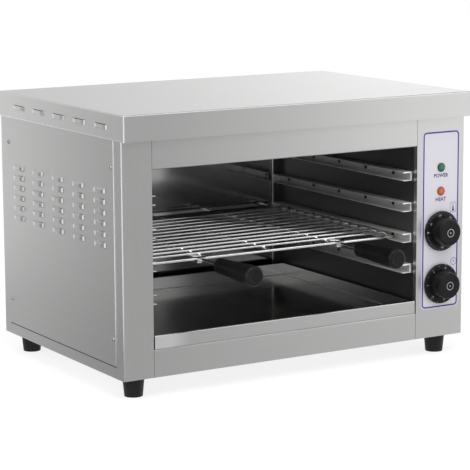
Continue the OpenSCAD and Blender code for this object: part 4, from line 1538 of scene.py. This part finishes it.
@dataclass
class Dial(Assembly):
    """A knob with its printed skirt, its shaft and the badge on its face."""

    name: str = "thermostat"
    scale: Scale = Scale.DEGREES
    skirt: float = 0.0040
    ink_depth: float = 0.00005
    tick_outer: float = 0.0294
    numeral_radius: float = 0.0253
    numeral_height: float = 0.0028
    badge_inner: float = 0.00565
    badge_step: float = 0.0003
    badge_film: float = 0.0001
    dot_radius: float = 0.0013
    numeral_bold: float = 0.00008
    nine_o_clock: float = -90.0
    first_degree: float = -60.0
    degree_step: float = 9.6
    minute_step: float = 26.0

    def build(self) -> None:
        """Dresses the knob, prints its scale and fills its badge."""
        self.body = f"{self.name}_dial"
        low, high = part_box(f"{self.name}_knob")
        self.x = (low.x + high.x) / 2
        self.z = (low.z + high.z) / 2
        self.face = high.y - self.skirt
        plastic = Moulding(f"{self.name}_plastic", (0.0052, 0.0052, 0.0056), 0.34).build()
        self.dress([f"{self.name}_knob"], plastic)
        self.dress(
            [f"{self.name}_shaft"], PolishedMetal("shaft_steel", (0.6, 0.6, 0.61), 0.25).build()
        )
        chrome = PolishedMetal("badge_metal", (0.50, 0.50, 0.52), 0.25).build()
        self.dress([f"{self.name}_badge"], chrome)
        self._badge(low.y, chrome, plastic)
        self._print_scale()

    def _badge(
        self, cap_face: float, chrome: Material, plastic: Material
    ) -> None:
        """Fills the badge's ring with a dark disc and a bright dot.

        Args:
            cap_face: Where the cap's face is.
            chrome: The dot's material.
            plastic: The disc's material.
        """
        floor = cap_face - self.badge_step
        disc = slab(f"{self.name}_badge_disc", circle(self.badge_inner), self.badge_film)
        disc.transform(shift((self.x, floor, self.z)))
        self.add(f"{self.name}_badge_disc", disc, plastic, self.body, "knob_plastic")
        dot = slab(f"{self.name}_badge_dot", circle(self.dot_radius, 24), self.badge_film)
        dot.transform(shift((self.x, floor - self.badge_film, self.z)))
        self.add(f"{self.name}_badge_dot", dot, chrome, self.body, "badge_metal")

    def _at(self, clock: float, radius: float) -> Matrix:
        """The place on the skirt at an angle and a radius, turned to point outward.

        Args:
            clock: Degrees clockwise from the top, as seen from the front.
            radius: Distance from the shaft.

        Returns:
            The matrix that puts a print there.
        """
        turn = spun(clock, "Y")
        centre = shift((self.x, self.face, self.z))
        return centre @ turn @ shift((0.0, 0.0, radius))

    def _tick(self, clock: float, length: float, width: float) -> Part:
        """One line of the scale.

        Args:
            clock: Degrees clockwise from the top.
            length: Its length along the radius.
            width: Its width.

        Returns:
            The line's mesh and place.
        """
        outline = rounded_box(width / 2, length / 2, width / 5, 2)
        mesh = slab("tick", outline, self.ink_depth)
        return mesh, self._at(clock, self.tick_outer - length / 2)

    def _numeral(self, clock: float, words: str) -> Part:
        """One number of the scale, upright where the dial is read.

        Args:
            clock: Degrees clockwise from the top.
            words: The number.

        Returns:
            The number's mesh and place.
        """
        mesh = lettering(
            "numeral", words, self.numeral_height, 2 * self.ink_depth, self.numeral_bold
        )
        return mesh, self._at(clock, self.numeral_radius)

    def _print_scale(self) -> None:
        """Prints the scale that this dial carries."""
        if self.scale is Scale.DEGREES:
            parts = self._degrees()
        else:
            parts = self._minutes()
        mesh = joined(f"{self.name}_scale", parts)
        ink = Ink("white_ink", (0.26, 0.26, 0.26)).build()
        self.add(f"{self.name}_scale", mesh, ink, self.body, "knob_plastic")

    def _degrees(self) -> list[Part]:
        """The thermostat's scale: 50 to 300 degrees, with an off mark at nine o'clock.

        Returns:
            The marks and numbers with their places.
        """
        parts = [self._tick(self.nine_o_clock, 0.0040, 0.0024)]
        for i in range(26):
            long = i % 5 == 0
            clock = self.first_degree + i * self.degree_step
            parts.append(self._tick(clock, 0.0021 if long else 0.0013, 0.00045))
            if long:
                parts.append(self._numeral(clock, str(50 + 10 * i)))
        for i in range(12):
            parts.append(self._tick(-170.0 + i * 6.0, 0.0016, 0.00045))
        return parts

    def _minutes(self) -> list[Part]:
        """The timer's scale: 5 to 30 minutes, with a start line at nine o'clock.

        Returns:
            The marks and numbers with their places.
        """
        parts = [self._tick(self.nine_o_clock, 0.0045, 0.0006)]
        for i in range(1, 13):
            clock = self.nine_o_clock + i * self.minute_step
            if i % 2 == 0:
                parts.append(self._numeral(clock, str(5 * i // 2)))
            parts.append(self._tick(clock, 0.0012, 0.0009))
        return parts


@dataclass
class Fasteners(Assembly):
    """The screws of the covers and the lid, with cross recesses, and the bolts inside."""

    head_radius: float = 0.0035
    head_height: float = 0.0019
    shank_radius: float = 0.0020
    shank_length: float = 0.0090
    recess_width: float = 0.0009
    recess_reach: float = 0.0021
    recess_depth: float = 0.0012
    recess_spare: float = 0.0005
    recess_taper: float = 0.55
    seat_depth: float = 0.0020
    spin_step: float = 37.0

    def build(self) -> None:
        """Replaces the plain screws and dresses the rest."""
        steel = PolishedMetal("fastener_steel", (0.58, 0.58, 0.59), 0.22).build()
        self.dress(["foot_bolts", "control_screws"], steel)
        screw = self._screw()
        places = list(self._places())
        mesh = joined("cross_head_screws", [(screw, place) for place in places])
        piece = self.add("cross_head_screws", mesh, steel, "cabinet", "fasteners", smooth=True)
        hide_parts("casing_screws")

    def _screw(self) -> Mesh:
        """One screw along Y: its head from y = 0 forward and its shank behind it.

        Returns:
            The screw.
        """
        r, h = self.head_radius, self.head_height
        dome = [
            (r * math.cos(a), -0.35 * h - 0.65 * h * math.sin(a))
            for a in (math.radians(15 * i) for i in range(6))
        ]
        profile = [(0.0, self.shank_length), (self.shank_radius * 0.8, self.shank_length)]
        profile += [(self.shank_radius, self.shank_length - 0.0004), (self.shank_radius, 0.0)]
        profile += [(r, 0.0)] + dome + [(0.0, -h)]
        body = new_piece("screw_blank", turned("screw_blank", profile, 32))
        cut = new_piece("cross_cut", self._cross())
        difference = body.modifiers.new("recess", "BOOLEAN")
        difference.operation = "DIFFERENCE"
        difference.solver = "EXACT"
        difference.object = cut
        mesh = evaluated(body)
        for spare in (body, cut):
            bpy.data.objects.remove(spare)
        return mesh

    def _cross(self) -> Mesh:
        """The cutter for the cross recess: a tapered cross that points back along +Y.

        Returns:
            The cutter.
        """
        w, reach = self.recess_width / 2, self.recess_reach
        outline = [
            (w, w), (w, reach), (-w, reach), (-w, w), (-reach, w), (-reach, -w),
            (-w, -w), (-w, -reach), (w, -reach), (w, -w), (reach, -w), (reach, w),
        ]
        top, floor = -self.head_height - self.recess_spare, -self.head_height + self.recess_depth
        taper = self.recess_taper
        front = [(x, top, z) for x, z in outline]
        return prism("cross_cut", front, [(taper * x, floor, taper * z) for x, z in outline])

    def _places(self) -> Iterable[Matrix]:
        """Where each screw sits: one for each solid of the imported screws, turned a little.

        Returns:
            The matrices that put a screw at each place.
        """
        node = self.nodes["casing_screws"]
        for number, (low, high) in enumerate(islands(node.data)):
            middle = (low + high) / 2
            spin = spun(self.spin_step * number, "Y")
            if high.y - low.y > high.x - low.x:
                turn = spun(180, "Z")
                seat = Vector((middle.x, high.y - self.seat_depth, middle.z))
            else:
                side = 1 if middle.x > 0 else -1
                turn = spun(90 * side, "Z")
                edge = high.x if side > 0 else low.x
                seat = Vector((edge - side * self.seat_depth, middle.y, middle.z))
            yield shift(seat) @ turn @ spin


def islands(mesh: Mesh) -> list[tuple[Vector, Vector]]:
    """The boxes of a mesh's separate solids.

    Args:
        mesh: The mesh, in place.

    Returns:
        The lowest and highest corner of each, in order of place.
    """
    shape = bmesh.new()
    shape.from_mesh(mesh)
    bmesh.ops.remove_doubles(shape, verts=shape.verts, dist=1e-6)
    boxes = []
    left = set(shape.verts)
    while left:
        seen = {left.pop()}
        front = list(seen)
        while front:
            vert = front.pop()
            for edge in vert.link_edges:
                other = edge.other_vert(vert)
                if other not in seen:
                    seen.add(other)
                    front.append(other)
        left -= seen
        low = Vector([min(v.co[i] for v in seen) for i in range(3)])
        high = Vector([max(v.co[i] for v in seen) for i in range(3)])
        boxes.append((low, high))
    shape.free()
    return sorted(boxes, key=lambda box: tuple(round(c, 4) for c in box[0]))


@dataclass
class Underframe(Assembly):
    """The feet and the cable gland."""

    def build(self) -> None:
        """Dresses the feet and the gland."""
        rubber = Moulding("foot_rubber", (0.0065, 0.0065, 0.0068), 0.5, pebble=900.0, dust=0.006)
        gland = Moulding("gland_plastic", (0.010, 0.010, 0.011), 0.4)
        self.dress(["feet"], rubber.build(), 0.0008)
        self.dress(["cable_gland", "gland_nut"], gland.build(), 0.0004)


# ---- The studio ----


Levels = tuple[Point2, ...]


def reflector(
    name: str, rows: Sequence[Sequence[Sequence[float]]], paint: Callable[[Graph], Signal]
) -> None:
    """Stands up a glowing sheet that only polished surfaces see.

    Args:
        name: The sheet's name.
        rows: Rows of points, each row as long as the next.
        paint: Gives the sheet's level for a graph.
    """
    shape = bmesh.new()
    made = [[shape.verts.new(point) for point in row] for row in rows]
    for row, following in zip(made, made[1:]):
        for i in range(len(row) - 1):
            shape.faces.new((row[i], row[i + 1], following[i + 1], following[i]))
    mesh = bpy.data.meshes.new(name)
    shape.to_mesh(mesh)
    shape.free()
    sheet = new_piece(name, mesh)
    material, graph = new_graph(name)
    graph.node_output(graph.node("ShaderNodeEmission", inputs={0: paint(graph), 1: 1.0}))
    mesh.materials.append(material)
    sheet.visible_camera = False
    sheet.visible_diffuse = False
    sheet.visible_shadow = False
    sheet.visible_transmission = False


def graded(graph: Graph, share: Signal, levels: Levels) -> Signal:
    """A level that changes along a share between 0 and 1.

    Args:
        graph: The graph that is built.
        share: Where the level is looked up.
        levels: Pairs of share and level.

    Returns:
        The level.
    """
    return graph.node("ShaderNodeValToRGB", {"stops": levels}, {0: share})


@dataclass(frozen=True)
class Card:
    """An upright sheet across the view, graded from left to right."""

    name: str
    y: float
    ends: Point2
    heights: Point2
    levels: Levels
    gain: float = 1.0

    def build(self) -> None:
        """Stands the card up."""
        rows = [[(x, self.y, z) for x in self.ends] for z in self.heights]
        reflector(self.name, rows, self._paint)

    def _paint(self, graph: Graph) -> Signal:
        """The card's level.

        Args:
            graph: The card's graph.

        Returns:
            The level.
        """
        x = graph.axes(graph.place())[0]
        share = (x - self.ends[0]) / (self.ends[1] - self.ends[0])
        return graded(graph, share, self.levels) * self.gain


class Side(Enum):
    """The face of the casing that a cove stands before."""

    FRONT = "-Y"
    LEFT = "-X"


@dataclass(frozen=True)
class Cove:
    """A sheet that rises from the floor beside a face and is graded as that face mirrors it.

    A mirrored ray runs sideways and falls while it leaves the face, so the sheet is slanted with
    it, and its level is written for the place on the face where it is seen.
    """

    name: str
    side: Side
    face: float
    reach: Point2
    lean: float
    fall: float
    heights: Point2
    low: Levels
    high: Levels
    section: tuple[Point2, ...] = (
        (0.02, 0.002), (0.30, 0.004), (0.40, 0.05), (0.445, 0.14), (0.46, 0.24), (0.46, 0.66),
    )

    def build(self) -> None:
        """Lays the cove."""
        rows = []
        for away, z in self.section:
            ends = [end + self.lean * away for end in self.reach]
            if self.side is Side.FRONT:
                rows.append([(x, self.face - away, z) for x in ends])
            else:
                rows.append([(self.face - away, y, z) for y in ends])
        reflector(self.name, rows, self._paint)

    def _paint(self, graph: Graph) -> Signal:
        """The cove's level.

        Args:
            graph: The cove's graph.

        Returns:
            The level.
        """
        x, y, z = graph.axes(graph.place())
        if self.side is Side.FRONT:
            along, away = x, self.face - y
        else:
            along, away = y, self.face - x
        share = (along - away * self.lean - self.reach[0]) / (self.reach[1] - self.reach[0])
        bottom, top = self.heights
        rise = ((z + away * self.fall - bottom) / (top - bottom)).clamped()
        low = graded(graph, share, self.low)
        high = graded(graph, share, self.high)
        return low * (1.0 - rise) + high * rise


@dataclass
class Studio:
    """The floor, the white surroundings, the lamps and the camera."""

    camera_place: Point3 = (-1.5973, -2.62255, 0.72996)
    camera_turn: Point3 = (80.0435, 0.2790, -31.0869)
    lens: float = 153.97
    floor_half: float = 14.0
    ambient: float = 0.92
    high_sky: float = 0.5

    def build(self) -> None:
        """Sets up everything round the object."""
        self._camera()
        self._floor()
        self._surroundings()
        self._lamps()
        self._cards()
        bpy.context.scene.view_settings.view_transform = "Standard"

    def _camera(self) -> None:
        """The camera, at the photograph's angle."""
        data = bpy.data.cameras.new("camera")
        data.lens = self.lens
        data.sensor_width = 36.0
        data.clip_start, data.clip_end = 0.1, 60.0
        camera = linked("camera", data)
        camera.location = self.camera_place
        camera.rotation_euler = [math.radians(a) for a in self.camera_turn]
        bpy.context.scene.camera = camera

    def _floor(self) -> None:
        """A pale floor that is nearly white and keeps the object's shadow."""
        half = self.floor_half
        shape = bmesh.new()
        corners = ((-half, -half), (half, -half), (half, half), (-half, half))
        shape.faces.new([shape.verts.new((x, y, 0.0)) for x, y in corners])
        mesh = from_bmesh("floor", shape)
        floor = new_piece("floor", mesh)
        material, graph = new_graph("floor")
        camera, glossy, through = self._rays(graph)
        seen = camera.greatest(glossy).greatest(through)
        matt = graph.node("ShaderNodeBsdfDiffuse", inputs={0: (0.92, 0.92, 0.92, 1.0)})
        glow = graph.node("ShaderNodeEmission", inputs={0: (1.0, 1.0, 1.0, 1.0), 1: 1.06})
        both = graph.node("ShaderNodeMixShader", inputs={0: seen * 0.72, 1: matt, 2: glow})
        graph.node_output(both)
        mesh.materials.append(material)

    @staticmethod
    def _rays(graph: Graph) -> tuple[Signal, ...]:
        """The rays that show the background.

        Args:
            graph: The graph that is built.

        Returns:
            1 for the camera's rays, for mirrored ones and for refracted ones.
        """
        path = graph.node("ShaderNodeLightPath").socket.node
        names = ("Is Camera Ray", "Is Glossy Ray", "Is Transmission Ray")
        return tuple(Signal(graph, path.outputs[name]) for name in names)

    def _surroundings(self) -> None:
        """White where it is seen, dimmer overhead in mirrors, and a soft even light elsewhere."""
        world = bpy.data.worlds.new("surroundings")
        bpy.context.scene.world = world
        graph = Graph(world)
        height = graph.axes(graph.node("ShaderNodeTexCoord", output="Generated"))[2]
        sky = 1.0 - ((height - 0.32) * 6.0).clamped() * (1.0 - self.high_sky)
        camera, glossy, through = self._rays(graph)
        plain = camera.greatest(through)
        strength = plain * (1.0 - self.ambient) + glossy * (sky - self.ambient) + self.ambient
        light = graph.node("ShaderNodeBackground", inputs={0: (1.0, 1.0, 1.0, 1.0), 1: strength})
        made = graph.tree.nodes.new("ShaderNodeOutputWorld")
        graph.tree.links.new(light.socket, made.inputs["Surface"])

    def _lamps(self) -> None:
        """Two soft lamps: a large one above the front and a smaller one at the left."""
        self._lamp("overhead", (-0.3, -1.4, 2.2), 1.8, 26.0)
        self._lamp("left_fill", (-2.2, -0.6, 1.2), 1.2, 10.0)

    @staticmethod
    def _lamp(name: str, place: Point3, size: float, power: float) -> None:
        """One square soft lamp that faces the object.

        Args:
            name: Its name.
            place: Where it is.
            size: The length of its side.
            power: Its power in watts.
        """
        data = bpy.data.lights.new(name, "AREA")
        data.size = size
        data.energy = power
        lamp = linked(name, data)
        lamp.location = place
        aim = Vector((0.0, 0.0, 0.2)) - Vector(place)
        lamp.rotation_euler = aim.to_track_quat("-Z", "Y").to_euler()

    @staticmethod
    def _cards() -> None:
        """Reflectors that grade the front, the left side and the lid as studio screens do."""
        Cove(
            "front_cove", Side.FRONT, -0.159, (-0.5, 0.8), 0.60, 0.198, (0.05, 0.36),
            ((0.15, 0.46), (0.38, 0.56), (0.62, 0.64), (0.8, 0.66)),
            ((0.13, 0.40), (0.38, 0.65), (0.58, 0.95), (0.8, 1.04)),
        ).build()
        Cove(
            "left_cove", Side.LEFT, -0.301, (-0.76, 0.5), 1.664, 0.33, (0.03, 0.22),
            ((0.48, 0.34), (0.64, 0.42), (0.79, 0.53), (0.9, 0.54)),
            ((0.48, 0.35), (0.64, 0.50), (0.79, 0.65), (0.9, 0.66)),
        ).build()
        Card(
            "back_card", 1.2, (-0.4, 2.0), (0.25, 1.4),
            ((0.27, 0.57), (0.40, 0.67), (0.52, 0.80), (0.63, 0.93)), 1.35,
        ).build()
        Card(
            "wire_card", -0.72, (0.1, 1.6), (0.42, 1.05), ((0.0, 0.8), (0.4, 1.0)), 2.6
        ).build()


def main() -> None:
    """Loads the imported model, dresses it and sets up the studio."""
    logging.basicConfig(level=logging.INFO, format="%(name)s: %(message)s")
    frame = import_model()
    nodes = frame["nodes"]
    Studio().build()
    assemblies = [
        Casing(nodes),
        CookingSpace(nodes),
        WireRack(nodes),
        CrumbTray(nodes),
        ControlColumn(nodes),
        Dial(nodes, name="thermostat", scale=Scale.DEGREES),
        Dial(nodes, name="timer", scale=Scale.MINUTES),
        Fasteners(nodes),
        Underframe(nodes),
    ]
    for assembly in assemblies:
        assembly.build()
        for name in assembly.made:
            log.info("%s: %s", type(assembly).__name__, name)


if __name__ == "__main__":
    main()
